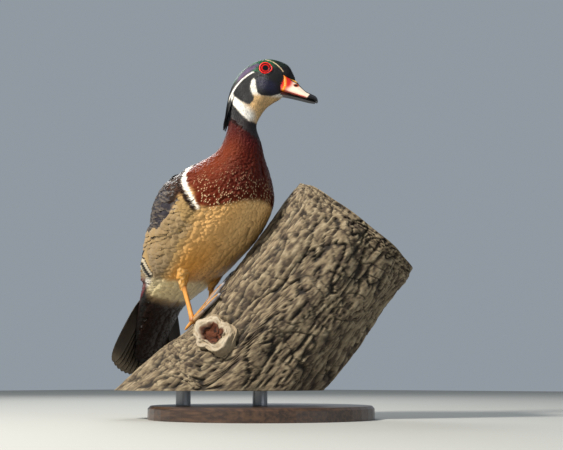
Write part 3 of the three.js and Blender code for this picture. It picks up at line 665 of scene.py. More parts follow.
def coat(name, roots, size, material, swirl=0.12, slant=None, template=BODY_LEAF, **look):
    """Small feathers laid from their roots towards the tail, with a length and a width by place."""
    u, a = roots.T
    long, wide = size(u, a)
    long = long * (0.88 + 0.24 * RNG.random(len(u)))
    wide = wide * (0.9 + 0.2 * RNG.random(len(u)))
    turn = swirl * RNG.standard_normal(len(u)) + (slant(u, a) if slant else 0.0)
    unit_u, unit_a = units(u, a)
    tip = np.stack([u + long * np.cos(turn) / unit_u, a + long * np.sin(turn) / unit_a], -1)
    tip[:, 0] = np.minimum(tip[:, 0], BODY_END + 0.4)
    return lay(name, roots, tip, wide, material, template, **look)


# Materials
def add(tree, kind, inputs=None, **settings):
    """Add one node, make its settings, and link or set its inputs."""
    made = tree.nodes.new(kind)
    for key, value in settings.items():
        setattr(made, key, value)
    for key, value in (inputs or {}).items():
        if isinstance(value, bpy.types.NodeSocket):
            tree.links.new(value, made.inputs[key])
        else:
            made.inputs[key].default_value = value
    return made


def calc(tree, operation, *values):
    """Result of one sum on numbers or sockets."""
    return add(tree, "ShaderNodeMath", dict(enumerate(values)), operation=operation).outputs[0]


def blend(tree, amount, first, second):
    """Mix of two colours, each a socket or a linear colour."""
    made = add(tree, "ShaderNodeMix", data_type="RGBA")
    # Input 0 is the factor, and 6, 7 and output 2 are the colours
    for at, value in ((0, amount), (6, first), (7, second)):
        if isinstance(value, bpy.types.NodeSocket):
            tree.links.new(value, made.inputs[at])
        else:
            made.inputs[at].default_value = value if at == 0 else (*value, 1.0)
    return made.outputs[2]


def ramp(tree, value, low, high):
    """A soft step from 0 at one value to 1 at the other."""
    made = add(tree, "ShaderNodeMapRange", {"Value": value, "From Min": low, "From Max": high},
               interpolation_type="SMOOTHSTEP")
    return made.outputs["Result"]


def layer(tree, name):
    """Node that reads a named layer of a mesh."""
    return add(tree, "ShaderNodeAttribute", attribute_name=name)


def parts(tree, name):
    """The three numbers of a vector layer."""
    return add(tree, "ShaderNodeSeparateXYZ", {0: layer(tree, name).outputs["Vector"]}).outputs


def tinted(tree, value):
    """The tint layer's colour, made lighter or darker by a value."""
    colour = layer(tree, "tint").outputs["Color"]
    return add(tree, "ShaderNodeVectorMath", {0: colour, "Scale": value}, operation="SCALE").outputs[0]


def new_material(name, rough=0.6, **constants):
    """A material with its shader; constants are set on the sockets of the same name."""
    material = bpy.data.materials.new(name)
    material.use_nodes = True
    tree = material.node_tree
    shader = tree.nodes["Principled BSDF"]
    shader.inputs["Roughness"].default_value = rough
    for key, value in constants.items():
        socket = shader.inputs[key.replace("_", " ").title().replace("Ior", "IOR")]
        socket.default_value = (*value, 1.0) if np.ndim(value) else value
    return material, tree, shader


def fractal(tree, scale, vector=None, detail=4.0, rough=0.55):
    """Noise in the object's own metres; the scale is features to a metre."""
    if vector is None:
        vector = add(tree, "ShaderNodeTexCoord").outputs["Object"]
    sizes = {"Vector": vector, "Scale": scale, "Detail": detail, "Roughness": rough}
    made = add(tree, "ShaderNodeTexNoise", sizes)
    return made.outputs["Fac"]


def bump(tree, shader, height, distance_mm, strength=1.0):
    made = add(tree, "ShaderNodeBump", {"Height": height, "Distance": distance_mm * MM, "Strength": strength})
    tree.links.new(made.outputs["Normal"], shader.inputs["Normal"])


BARB_PITCH = 0.7
WAVE_PITCH = 1.5
VERMICULE = linear("#5e4c36")
SPOT = linear("#ead3a6")
BAND_PALE = linear("#b9ad96")


def plumage(name, rough=0.55, vary=0.22, barbs=0.16, painted_root_shade=0.3, pale_edge=None, bars=False, **constants):
    """Feather web: barbs that slant from the shaft, drawn coarser than real so that they show in the render,
    a shade of its own for each feather, and marks that the mark layer turns on."""
    material, tree, shader = new_material(name, rough, **constants)
    place, vane, mark = (parts(tree, key) for key in ("barb", "vane", "mark"))
    side = calc(tree, "ABSOLUTE", place[0])
    phase = calc(tree, "MULTIPLY_ADD", side, -1.3, place[1])
    shaken = calc(tree, "MULTIPLY_ADD", fractal(tree, 900.0), 0.6, phase)
    lines = calc(tree, "SINE", calc(tree, "MULTIPLY", shaken, TAU / BARB_PITCH))
    own = calc(tree, "MULTIPLY_ADD", vane[2], vary, 1 - vary / 2)
    value = calc(tree, "MULTIPLY_ADD", lines, barbs / 2, own)
    shaft = ramp(tree, side, 0.35, 0.1)
    value = calc(tree, "MULTIPLY_ADD", shaft, -0.12, value)
    # Painted shade: each feather darker towards its root, where the feathers over it lie
    depth = calc(tree, "MULTIPLY_ADD", ramp(tree, vane[1], 0.0, 0.7), painted_root_shade, 1.02 - painted_root_shade)
    value = calc(tree, "MULTIPLY", value, depth)
    colour = tinted(tree, value)
    width = calc(tree, "ABSOLUTE", vane[0])
    # A white spot that widens towards the tip
    wedge = calc(tree, "MULTIPLY", calc(tree, "SUBTRACT", vane[1], 0.77), 3.4)
    reach = calc(tree, "SUBTRACT", calc(tree, "MULTIPLY", wedge, mark[0]), width)
    spot = calc(tree, "MULTIPLY", ramp(tree, reach, -0.06, 0.06), ramp(tree, vane[1], 0.965, 0.94))
    colour = blend(tree, calc(tree, "MULTIPLY", spot, ramp(tree, mark[0], 0.02, 0.1)), colour, SPOT)
    # Fine wavy lines across the feather, drawn coarser than real
    wobble = calc(tree, "MULTIPLY_ADD", fractal(tree, 420.0), 1.9, place[1])
    wave = calc(tree, "SINE", calc(tree, "MULTIPLY", wobble, TAU / WAVE_PITCH))
    fine = calc(tree, "MULTIPLY", ramp(tree, wave, -0.1, 0.6), mark[1])
    colour = blend(tree, calc(tree, "MULTIPLY", fine, 0.62), colour, VERMICULE)
    if bars:
        # White and black bands that end the long flank feathers
        pale = calc(tree, "MULTIPLY", ramp(tree, vane[1], 0.60, 0.64), ramp(tree, vane[1], 0.80, 0.76))
        dark = ramp(tree, vane[1], 0.77, 0.80)
        last = ramp(tree, vane[1], 0.93, 0.955)
        rim = calc(tree, "MULTIPLY", ramp(tree, vane[1], 0.53, 0.56), ramp(tree, vane[1], 0.63, 0.60))
        for amount, shade in ((rim, BAR_BLACK), (pale, BAND_PALE), (dark, BAR_BLACK), (last, BAND_PALE)):
            colour = blend(tree, calc(tree, "MULTIPLY", amount, mark[2]), colour, shade)
    elif pale_edge is not None:
        brim = calc(tree, "MAXIMUM", ramp(tree, vane[1], 0.86, 0.93), ramp(tree, width, 0.74, 0.92))
        colour = blend(tree, calc(tree, "MULTIPLY", brim, mark[2]), colour, pale_edge)
    tree.links.new(colour, shader.inputs["Base Color"])
    bump(tree, shader, lines, 0.12, 0.5)
    return material


def painted(name, rough=0.5, grain=0.12, scale=260.0, relief_mm=0.15, crisp=0.55, **constants):
    """Horn, skin or wood that takes its colour from the tint layer, mottled by noise."""
    material, tree, shader = new_material(name, rough, **constants)
    noisy = fractal(tree, scale, detail=8.0, rough=crisp)
    value = calc(tree, "MULTIPLY_ADD", noisy, 2 * grain, 1 - grain)
    tree.links.new(tinted(tree, value), shader.inputs["Base Color"])
    bump(tree, shader, noisy, relief_mm, 0.6)
    return material


# Dark head web: shade that varies from feather to feather gives a broken, silky gloss
HEAD_WEB = plumage("head_web", rough=0.45, vary=0.6, barbs=0.4, specular_ior_level=0.4)
# Breast web: a warm tint on its gloss keeps the chestnut deep under the pale studio light
BREAST_WEB = plumage("breast_web", rough=0.35, vary=0.2, specular_ior_level=0.3,
                     specular_tint=linear("#dd9c80"))
# Flank web, matt, with fine wavy lines
FLANK_WEB = plumage("flank_web", rough=0.65, vary=0.07, painted_root_shade=0.1, sheen_weight=0.1)
# Flank feathers that end in white and black bands
BAND_WEB = plumage("band_web", rough=0.6, vary=0.08, bars=True)
# Back and wing covert web, dark with a pale worn edge
COVERT_WEB = plumage("covert_web", rough=0.42, vary=0.3, pale_edge=linear("#6c6156"), specular_ior_level=0.3)
# Flight and tail web, smooth, with barbs that show
FLIGHT_WEB = plumage("flight_web", rough=0.45, vary=0.16, barbs=0.22, pale_edge=linear("#9c8f7a"),
                     specular_ior_level=0.35)
# Skin under the coat, in the coat's colours darkened as painted shade between the feathers
SKIN = painted("skin_under_coat", rough=0.8, grain=0.2)
# Horn of the bill, smooth and slightly glossy
HORN = painted("bill_horn", rough=0.36, grain=0.1, scale=500.0, relief_mm=0.08, specular_ior_level=0.35)
# Bare red lid, bumpy and moist
LID = painted("lid_skin", rough=0.4, grain=0.2, scale=900.0, relief_mm=0.3, subsurface_weight=0.1)
# Scaled leg skin, satin
LEG = painted("leg_skin", rough=0.5, grain=0.35, scale=420.0, relief_mm=0.25)
# Weathered bark and cut wood, dull
BARK = painted("bark", rough=0.92, grain=0.55, scale=300.0, relief_mm=1.8, crisp=0.72)


# Skin: one closed surface from the bill to the tail's root, under the coat
SKIN_DEPTH = 1.8
SKIN_ROWS, SKIN_COLUMNS = 210, 112
skin_u = np.concatenate([np.linspace(0.0, 1.0, 12)[:-1], np.linspace(1.0, BODY_END, SKIN_ROWS)])
skin_a = -math.pi + TAU * np.arange(SKIN_COLUMNS) / SKIN_COLUMNS
su, sa = np.meshgrid(skin_u, skin_a, indexing="ij")
inner = ease(0.0, 0.8, su) * ease(BODY_END, BODY_END - 0.8, su)
skin_place = body(su, sa, relief(su, sa) - SKIN_DEPTH - 1.0 * (1 - inner))
# Painted shade: the coat's colours darkened by a quarter for the gaps between feathers
skin_tint = tint_at(su, sa, skin_place) * 0.75
skin = tube_piece("skin", skin_place, SKIN, tint=with_alpha(skin_tint))
keep(skin, "body_plumage", "head", "neck", "torso", "thigh_right", "thigh_left")

# Bill rows: forward, top, bottom, half width at the top, half width at the bottom
UPPER_BILL = np.array([
    [46.5, 113.0, 89.2, 12.0, 12.6],
    [50.0, 110.5, 88.0, 11.0, 12.2],
    [56.5, 106.0, 86.2, 8.8, 11.0],
    [65.5, 102.0, 83.4, 5.2, 9.8],
    [70.0, 96.5, 82.0, 4.8, 9.6],
    [76.5, 90.0, 80.2, 4.6, 9.4],
    [83.0, 86.6, 78.6, 4.4, 9.2],
    [88.5, 83.8, 77.2, 3.8, 7.6],
    [91.5, 80.0, 75.4, 2.6, 4.6],
])
LOWER_BILL = np.array([
    [46.5, 88.7, 84.6, 9.0, 7.5],
    [55.5, 86.0, 83.0, 9.2, 7.4],
    [69.0, 81.8, 79.9, 8.8, 7.0],
    [80.5, 78.8, 76.8, 8.2, 6.2],
    [88.5, 76.6, 75.2, 5.6, 4.2],
])
NOSTRIL = (65.2, 95.0)


def bill_place(rows, steps, columns):
    """Forward, up and side of a smooth bill loft, with a rounded end."""
    last = len(rows) - 1
    s = last * np.linspace(0, 1, steps)
    forward, top, bottom, wide_top, wide_bottom = np.moveaxis(rows_at(rows, s), -1, 0)
    tall = top - bottom
    nil = np.zeros_like(top)
    shoulder = wide_top + 0.3 * (wide_bottom - wide_top)
    half = [
        (nil, top), (wide_top * 0.7, top - 0.08 * tall), (shoulder, top - 0.35 * tall),
        (wide_bottom, bottom + 0.3 * tall), (wide_bottom * 0.96, bottom + 0.03 * tall), (nil, bottom),
    ]
    corners = np.stack(half + [(-wide, high) for wide, high in half[-2:0:-1]])
    n = len(corners)
    ring = np.concatenate([corners[-1:], corners, corners[:2]])
    k = n * np.arange(columns) / columns
    section = rows_at(ring.reshape(n + 3, -1), k + 1).reshape(columns, 2, steps)
    side, up = section[:, 0].T, section[:, 1].T
    close = 0.25 + 0.75 * ease(1.0, 0.93, s / last)[:, None] ** 0.5
    mid = ((top + bottom) / 2)[:, None]
    return forward[:, None] * np.ones_like(side), mid + (up - mid) * close, side * close


# Line on the face where the bill's horn comes out of the feathers, in the photo's frame from top to bottom
BILL_BASE = [
    (280.8, 69.5), (282.2, 72.5), (284.6, 77), (285.6, 81.5), (285.4, 87), (283.4, 91.5), (282.6, 96),
]
CULMEN_LINE = [(281, 72), (289, 78.3), (297, 82.3), (303.3, 88), (307.1, 91.4), (310.9, 93.3), (318.6, 99)]
MOUTH_LINE = [(283, 91.4), (288, 93.7), (297.5, 96.3), (307.1, 99), (316.7, 101.7)]
YELLOW_LINE = [(281.5, 70.7), (289.5, 76.4), (296.8, 81)]
NOSTRIL_PIXEL = (296.6, 86.0)


def past_base(forward, up):
    """How far in pixels a place lies in front of the edge of the feathers on the bill."""
    x, y = in_photo(forward, up)
    return x - np.interp(y, [p[1] for p in BILL_BASE], [p[0] for p in BILL_BASE])


def line_at(line, x):
    return np.interp(x, [p[0] for p in line], [p[1] for p in line])


def bill_tint(forward, up, side):
    """Bill colours from a place in the head's plane."""
    x, y = in_photo(forward, up)
    black = linear("#121011")
    mouth = line_at(MOUTH_LINE, x) - y
    strip = ease(4.2, 3.0, np.abs(side)) * ease(292, 295, x)
    strip = np.maximum(strip, ease(2.1, 1.3, y - line_at(CULMEN_LINE, x)) * ease(289, 292, x))
    rim = np.hypot((x - NOSTRIL_PIXEL[0]) / 2.6, (y - NOSTRIL_PIXEL[1]) / 1.7)
    return layered(
        cover(np.shape(x), linear("#ecd9c3")),
        (linear("#e9b9a4"), ease(4.5, 1, mouth) * 0.7),
        (linear("#c8201a"), ease(297, 291.5, x + 0.35 * (y - 80)) * ease(92.5, 86.0, y - 0.25 * (290 - x))),
        (linear("#b04a40"), ease(290, 285.5, x) * ease(84, 88, y) * 0.5),
        (black, strip),
        (black, ease(-0.8, 0.8, x - (310.9 - (y - 93.3) * 0.62))),
        (linear("#d8665a"), ease(1.5, 0.6, mouth) * ease(308, 304, x)),
        (linear("#e8a52c"), ease(2.0, 1.2, to_line(x, y, YELLOW_LINE))),
        (linear("#e07a1c"), ease(1.9, 1.1, to_line(x, y, BILL_BASE[1:6]))),
        (linear("#b8481f"), ease(1.25, 1.0, rim)),
        # Painted shade: the nostril's dark middle, in a shallow pit
        (linear("#1c0a08"), ease(0.85, 0.6, rim)),
    )


forward, up, side = bill_place(UPPER_BILL, 150, 96)
sunk = ease(0.3, -0.8, past_base(forward, up))
side = side * (1 - 0.16 * sunk)
pit = np.hypot((forward - NOSTRIL[0]) / 2.6, (up - NOSTRIL[1]) / 1.35)
side = side - np.sign(side) * 1.3 * ease(1.0, 0.5, pit)
bill_upper = tube_piece("bill_upper_horn", head_place(forward, up, side), HORN,
                        tint=with_alpha(bill_tint(forward, up, side)))
keep(bill_upper, "bill_horn", "bill_upper")
forward, up, side = bill_place(LOWER_BILL, 70, 64)
lower_tint = mix(cover(side.shape, linear("#100c0c")), linear("#4a1812"), ease(58, 50, forward) * 0.6)
keep(tube_piece("bill_lower_horn", head_place(forward, up, side), HORN, tint=with_alpha(lower_tint)),
     "bill_horn", "bill_lower")

# Eyes: a low dome that carries the pupil and the iris, in a ring of bare lid
EYE_AT = (28.2, 114.8)
EYE_OUT = 15.6
EYE_BACK, EYE_DOWN = math.radians(6), math.radians(9)
PUPIL_RADIUS = 3.35
IRIS_RADIUS = 5.6
LID_POINT = 0.16
LID_RADIUS, LID_HEIGHT = 6.6, 0.1
DOME_FOOT = -2.6
DOME_HIGH, DOME_LOW, DOME_ROUND = 1.9, 0.9, 6.4
PUPIL_POLE = 0.12
EYE_RINGS = 26
EYE_SIDES, LID_SIDES = 64, 14


def eye_place(side, radius, height, turn, pointed):
    x, z = radius * np.cos(turn), radius * np.sin(turn)
    x = x * (1 + (LID_POINT * np.maximum(0, np.cos(turn)) ** 6 if pointed else 0))
    out = height - x * math.tan(EYE_BACK) - z * math.tan(EYE_DOWN)
    return head_place(EYE_AT[0] + x, EYE_AT[1] + z, side * (EYE_OUT + out)), x, z


def eye_material():
    """Eye: black pupil and red iris with a dark rim, painted shade where the lid meets it, under a clear wet
    coat that makes it glint.
    """
    wet = {"specular_ior_level": 0.35, "coat_weight": 0.3, "coat_roughness": 0.02}
    material, tree, shader = new_material("eye_gloss", 0.1, **wet)
    ray = parts(tree, "barb")
    grain = fractal(tree, 2600.0)
    wobble = calc(tree, "MULTIPLY_ADD", grain, 0.3, calc(tree, "SUBTRACT", ray[2], 0.15))
    colour = blend(tree, ramp(tree, wobble, 3.2, 4.9), linear("#7a0806"), linear("#d0140c"))
    colour = blend(tree, calc(tree, "MULTIPLY", grain, 0.3), colour, linear("#7a0d0a"))
    # Painted shade: the iris near-black at its edge, under the lid
    colour = blend(tree, ramp(tree, wobble, 4.8, 5.3), colour, linear("#0c0303"))
    pupil = ramp(tree, ray[2], PUPIL_RADIUS + 0.1, PUPIL_RADIUS - 0.1)
    colour = blend(tree, pupil, colour, linear("#050405"))
    tree.links.new(colour, shader.inputs["Base Color"])
    return material


EYE = eye_material()
turn = TAU * np.arange(EYE_SIDES) / EYE_SIDES
around = TAU * np.arange(LID_SIDES) / LID_SIDES
# The last ring stands behind the edge of the iris and closes the dome under the lid
eye_radii = np.append(np.linspace(PUPIL_POLE, IRIS_RADIUS, EYE_RINGS), IRIS_RADIUS)
gr, gt = np.meshgrid(eye_radii, turn, indexing="ij")
dome = DOME_HIGH * np.sqrt(np.clip(1 - (gr / DOME_ROUND) ** 2, 0, 1)) - DOME_LOW
dome[-1] = DOME_FOOT
ga, gb = np.meshgrid(turn, around, indexing="ij")
thick = 0.95 + 0.12 * np.sin(11 * ga) + 0.08 * np.sin(23 * ga + 2 * gb)
lid_radius = LID_RADIUS + thick * np.cos(gb)
lid_height = LID_HEIGHT + thick * 0.95 * np.sin(gb)
seam = np.arange(LID_SIDES)
beside = (seam + 1) % LID_SIDES
hind = (EYE_SIDES - 1) * LID_SIDES
for name, sign in SIDES:
    ring, x, z = eye_place(sign, gr, dome, gt, False)
    polar = np.stack([x, z, np.hypot(x, z)], -1)
    keep(tube_piece(f"eye_{name}_dome", ring, EYE, barb=polar), "eye_gloss", f"eye_{name}")
    spots, x, z = eye_place(sign, lid_radius, lid_height, ga, True)
    shade = layered(
        cover(x.shape, linear("#e01410")),
        # Painted shade: the lid darker on the side of its roll that faces the head, and near-black at its
        # inner edge beside the eye
        (linear("#8e0a08"), ease(0.2, -0.6, np.sin(gb))),
        (linear("#0a0304"), ease(6.35, 6.0, lid_radius)),
    )
    loop = np.stack([hind + seam, hind + beside, beside, seam], -1)
    quads = np.concatenate([grid_faces(EYE_SIDES, LID_SIDES, True), loop])
    verts = spots.reshape(-1, 3)
    p, q, r = verts[quads[0, :3]]
    core = eye_place(sign, LID_RADIUS, LID_HEIGHT, turn[0], True)[0]
    if np.dot(np.cross(q - p, r - q), p - core) < 0:
        quads = quads[:, ::-1]
    uvs = np.stack([(x.ravel() + 9) / 18, (z.ravel() + 9) / 18], -1)[quads.ravel()]
    keep(new_piece(f"lid_{name}_ring", verts, quads, [], LID, uvs, tint=with_alpha(shade.reshape(-1, 3))),
         "lid_skin", f"lid_{name}")


def in_bill(u, angle):
    """True where the skin lies inside the bill."""
    forward, up = profile(u, angle)[:2]
    top = np.interp(forward, UPPER_BILL[:, 0], UPPER_BILL[:, 1])
    chin = (forward > 49) & (up < 92)
    return chin | ((past_base(forward, up) > 0.1) & (up < top - 0.6))


def near_eye(u, angle):
    """Distance in millimetres from the middle of the eye, in the head's plane."""
    forward, up, side = profile(u, angle)[:3]
    away = np.hypot((forward - EYE_AT[0]) / np.where(forward > EYE_AT[0], 1.12, 1.0), up - EYE_AT[1])
    return np.where(np.abs(side) > 5, away, 99.0)


# Head coat: tiny feathers on the face, longer on the crown, the nape and the throat
def head_density(u, angle):
    small = np.interp(u, [0, 3, 6, 9.8], [1.5, 1.25, 0.85, 0.55])
    return np.where(in_bill(u, angle) | (near_eye(u, angle) < 7.4), 0.0, small)


def head_size(u, angle):
    long = np.interp(u, [0, 2, 4, 6, 9.8], [2.6, 3.3, 4.3, 6.0, 8.5])
    long = long * np.interp(near_eye(u, angle), [8, 13], [0.55, 1.0])
    return long, long * 0.42


def flow_back(u, angle):
    """The face's feathers sweep back and a little down, round the eye."""
    return 0.1 * np.sin(angle)


head_roots = seed_roots(0.0, 9.8, head_density, columns=560)
split = np.median(head_roots[:, 0])
for name, part in (("face", head_roots[:, 0] < split), ("nape", head_roots[:, 0] >= split)):
    keep(coat(f"{name}_coat", head_roots[part], head_size, HEAD_WEB, template=FINE_LEAF, slant=flow_back,
              low=-1.7, high=0.45, rise=no_relief, thick=0.14, swirl=0.1, pillow=0.25), "head_plumage")


# Neck and breast coat, with white spots at the tips of the chestnut feathers
def breast_mark(u, angle):
    a = np.abs(np.degrees(angle))
    end = chestnut_end(angle)
    spotted = ease(11.6, 13.4, u) * ease(80, 100, a) * ease(end + 0.1, end - 0.3, u)
    low = ease(end - 2.6, end - 0.4, u)
    size = (0.09 + 0.2 * low) * spotted * (RNG.random(np.shape(u)) < 0.45 + 0.45 * low)
    return marks_of(u, spot=size)


def breast_density(u, angle):
    end = chestnut_end(angle)
    return np.interp(u, [9.5, 11, 13, 16.5], [0.34, 0.22, 0.12, 0.085]) * ease(end + 1.6, end + 1.0, u)


def breast_size(u, angle):
    long = np.interp(u, [9.5, 11, 13, 16.5], [8.5, 9.0, 10.5, 12.5])
    return long, long * np.interp(u, [9.5, 13], [0.5, 0.7])


breast_roots = seed_roots(9.3, 17.6, breast_density)
neck_part = breast_roots[:, 0] < 12.2
keep(coat("neck_coat", breast_roots[neck_part], breast_size, BREAST_WEB, template=SMALL_LEAF, low=-1.8,
          high=0.8, mark=breast_mark, swirl=0.1), "breast_plumage")
keep(coat("breast_coat", breast_roots[~neck_part], breast_size, BREAST_WEB, low=-1.8, high=1.0,
          mark=breast_mark), "breast_plumage")


# Belly, vent and flank coats
def belly_density(u, angle):
    a = np.abs(np.degrees(angle))
    return 0.046 * (u > chestnut_end(angle) + 0.7) * (a > 108) * np.interp(u, [20, 24, 27], [1, 1.0, 1.2])


def belly_size(u, angle):
    long = np.interp(u, [15, 22, 27], [15, 18, 24])
    return long, long * 0.62


belly_roots = seed_roots(15.2, 25.6, belly_density)
keep(coat("belly_coat", belly_roots, belly_size, BREAST_WEB, low=-1.8, high=1.2), "body_plumage")


def flank_mark(u, angle):
    a = np.abs(np.degrees(angle))
    fine = ease(128, 112, a) * ease(16.2, 16.8, u)
    return marks_of(u, wave=fine * (0.55 + 0.45 * RNG.random(np.shape(u))))


def flank_density(u, angle):
    a = np.abs(np.degrees(angle))
    return 0.036 * (a > flank_rim(u) + 1) * (a < 116) * (u > 16.0)


def flank_size(u, angle):
    long = np.interp(u, [16, 19, 21.5], [17, 22, 19])
    return long, long * 0.6


def flank_slant(u, angle):
    """The flank's feathers turn up towards the back, as they do over the folded wing."""
    return -0.3 * np.sign(angle)


flank_roots = seed_roots(16.0, 21.5, flank_density)
fu, fa = flank_roots[:, 0], np.abs(np.degrees(flank_roots[:, 1]))
corner = np.exp(-(((fu - 17.75) / 0.45) ** 2) - ((fa - 76) / 11) ** 2)
flank_lift = 1.4 + 1.4 * ease(16, 0, fa - flank_rim(fu)) + 4.0 * corner
keep(coat("flank_coat", flank_roots, flank_size, FLANK_WEB, low=-1.8, high=flank_lift, mark=flank_mark,
          slant=flank_slant), "body_plumage")


# Mantle, scapulars and rump: dark feathers with worn pale edges, the longest over the wing
def back_mark(u, angle):
    worn = ease(13.5, 15.5, u) * ease(20.5, 18.5, u)
    return marks_of(u, band=worn * (0.3 + 0.5 * RNG.random(np.shape(u))))


def back_density(u, angle):
    a = np.abs(np.degrees(angle))
    band = a < np.where(u < 16, np.interp(u, [12.9, 14, 16], [30, 52, 92]), flank_rim(u) - 2)
    return 0.036 * band * np.interp(u, [13, 16, 19], [1.9, 0.9, 0.8])


def back_size(u, angle):
    long = np.interp(u, [13, 15, 17, 19.5], [12, 17, 25, 20])
    return long, long * 0.64


def back_tint(u, angle, place):
    """Scapular and covert colours: dark brown above, a purple grey lower down."""
    base = tint_at(u, angle, place)
    a = np.abs(np.degrees(angle))
    wing = mix(cover(np.shape(a), MANTLE), SLATE, ease(38, 62, a) * ease(15.6, 16.6, u) * 0.75)
    return mix(base, wing, ease(0.5, 0.62, u - bar_centre(angle)) * ease(14.0, 14.6, u))


def bar_density(u, angle):
    a = np.abs(np.degrees(angle))
    return 0.07 * (np.abs(u - bar_centre(angle) + 0.25) < 0.75) * (a > 26) * (a < 120)


def rump_density(u, angle):
    a = np.abs(np.degrees(angle))
    return 0.034 * (a < 112) * ((a < 62) | (u > 21.0))


back_roots = seed_roots(13.0, 19.6, back_density)
keep(coat("back_coat", back_roots, back_size, COVERT_WEB, low=-1.6, high=2.0, colour=back_tint,
          mark=back_mark), "flight_plumage")
bar_roots = seed_roots(14.0, 16.9, bar_density)
keep(coat("bar_coat", bar_roots, same_size(15.0, 8.5), BREAST_WEB, low=-1.5, high=2.1), "body_plumage")
rump_roots = seed_roots(19.0, 25.8, rump_density)
keep(coat("rump_coat", rump_roots, same_size(24.0, 13.0), COVERT_WEB, low=-1.8, high=1.4), "body_plumage")

# Long flank feathers that end in white and black bands, along the rim of the flank's hind half
BAND_COUNT = 7
band_t = np.linspace(0, 1, BAND_COUNT)
for name, sign in SIDES:
    root = np.stack([19.4 + 0.9 * band_t, sign * np.radians(66 + 16 * band_t)], -1)
    tip = np.stack([20.75 + 0.5 * band_t, sign * np.radians(64 + 24 * band_t)], -1)
    keep(lay(f"flank_bands_{name}", root, tip, np.full(BAND_COUNT, 8.5), BAND_WEB, BODY_LEAF, low=0.5,
             high=np.linspace(3.4, 2.4, BAND_COUNT), colour=one_shade(FLANK_TAN), mark=one_mark(1.0)),
         "body_plumage")

# Wings: tiers of flight feathers from the lowest to the highest
LONG_LEAF = leaf(np.array([0.05, 0.12, 0.22, 0.35, 0.48, 0.6, 0.7, 0.79, 0.86, 0.91, 0.95, 0.985]),
                 np.array([0.45, 0.72, 0.9, 0.98, 1.0, 1.0, 0.99, 0.96, 0.88, 0.76, 0.6, 0.34]), 9)
PRIMARY = linear("#2e2925")
SPECULUM = linear("#24415c")
TERTIAL = linear("#1d1a1c")
COVERT = linear("#29262b")
WING_TIERS = (
    {"name": "primaries", "count": 9, "from": (16.6, 34, 58), "to": (22.7, 13, 26), "over": (0.6, 1.8),
     "rise": 2.6, "width": 15, "colour": PRIMARY, "edge": 0.5},
    {"name": "secondaries", "count": 10, "from": (16.8, 48, 70), "to": (20.4, 42, 62), "over": (2.6, 3.6),
     "rise": 2.4, "width": 17, "colour": SPECULUM, "edge": 0.35},
    {"name": "tertials", "count": 6, "from": (15.9, 20, 44), "to": (21.0, 11, 36), "over": (3.8, 5.0),
     "rise": 2.2, "width": 20, "colour": TERTIAL, "edge": 0.25},
    {"name": "scapulars", "count": 12, "from": (15.2, 2, 50), "to": (18.9, 3, 46), "over": (5.6, 6.2),
     "rise": 1.0, "width": 15, "colour": TERTIAL, "edge": 0.3},
    {"name": "coverts", "count": 17, "from": (16.1, 28, 74), "to": (18.4, 24, 68), "over": (6.0, 6.0),
     "rise": 1.7, "width": 13, "colour": COVERT, "edge": 0.4},
)
for tier in WING_TIERS:
    count = tier["count"]
    t = np.linspace(0, 1, count)
    start, end = tier["from"], tier["to"]
    rise = (1 - t) * tier["rise"]
    for name, sign in SIDES:
        root = np.stack([start[0] + 0.25 * t, sign * np.radians(start[1] + (start[2] - start[1]) * t)], -1)
        tip = np.stack([end[0] - 0.35 * t * t, sign * np.radians(end[1] + (end[2] - end[1]) * t)], -1)
        piece = lay(f"{tier['name']}_{name}", root, tip, np.full(count, float(tier["width"])), FLIGHT_WEB,
                    LONG_LEAF, low=tier["over"][0] + rise, high=tier["over"][1] + rise, rise=no_relief,
                    thick=0.3, ragged=0.02, pillow=0.3, camber=0.3, colour=one_shade(tier["colour"]),
                    mark=one_mark(tier["edge"]))
        nodes = [f"wing_{name}"] if tier["name"] == "coverts" else []
        keep(piece, "flight_plumage", *nodes)

# Crest: narrow plumes swept back from the crown over the nape
CREST_COUNT = 260
f = np.linspace(-1, 1, CREST_COUNT) + 0.02 * RNG.standard_normal(CREST_COUNT)
layer_of = RNG.random(CREST_COUNT)
root = np.stack([5.2 + 1.6 * layer_of + 0.5 * np.abs(f), np.radians(50 * f)], -1)
tip_u = 9.2 + 1.5 * layer_of - 1.7 * f * f + 0.2 * RNG.standard_normal(CREST_COUNT)
tip = np.stack([tip_u, np.radians(25 * f)], -1)
lifted = (9.8 - 7.2 * np.abs(f)) * (0.35 + 0.65 * layer_of)
plume_wide = 3.4 + 1.6 * RNG.random(CREST_COUNT)
crest_piece = lay("crest_plumes", root, tip, plume_wide, HEAD_WEB, LONG_LEAF, low=-0.6, high=lifted,
                  rise=no_relief, thick=0.16, ragged=0.06, pillow=0.3)
keep(crest_piece, "head_plumage", "crest")

# Tail: pairs of long feathers fanned from the root, the middle pair uppermost
TAIL_PAIRS = 7
TAIL_LONG, TAIL_WIDE = 104.0, 21.0
TAIL_FAN = math.radians(25)
TAIL_DOWN = np.array([-0.225, 0.0, -0.974])
TAIL_BACK = np.array([-0.974, 0.0, 0.225])


def blades(name, root, way, out, long, wide, material, shade, mark, sag):
    """Long straight feathers in free air: each has a root, a direction and a face."""
    t, w, h = (LONG_LEAF[key][None, :, None] for key in ("t", "w", "h"))
    count = len(root)
    across = unit(np.cross(out, way))
    x = w * LONG_LEAF["wide"][None, :, None] * wide[:, None, None] / 2
    bow = 3.2 * np.sin(math.pi * t * 0.6) - sag[:, None, None] * t - 0.08 * np.abs(x)
    place = root[:, None] + way[:, None] * t * long[:, None, None] + across[:, None] * x
    place = place + out[:, None] * (bow + h * 0.3 * (1 - 0.6 * t))
    face = np.broadcast_to(out[:, None], place.shape)
    tilt = 0.3 * w * across[:, None] + 0 * place
    seed = RNG.random(count)
    patch = np.stack([np.linspace(0.9, 0.97, count), np.linspace(0.3, 0.7, count)], -1)
    return feather_piece(name, LONG_LEAF, place, face, tilt, x[..., 0], (t * long[:, None, None])[..., 0],
                         seed, mark, shade(place.shape[:2], t[..., 0]), patch, material)


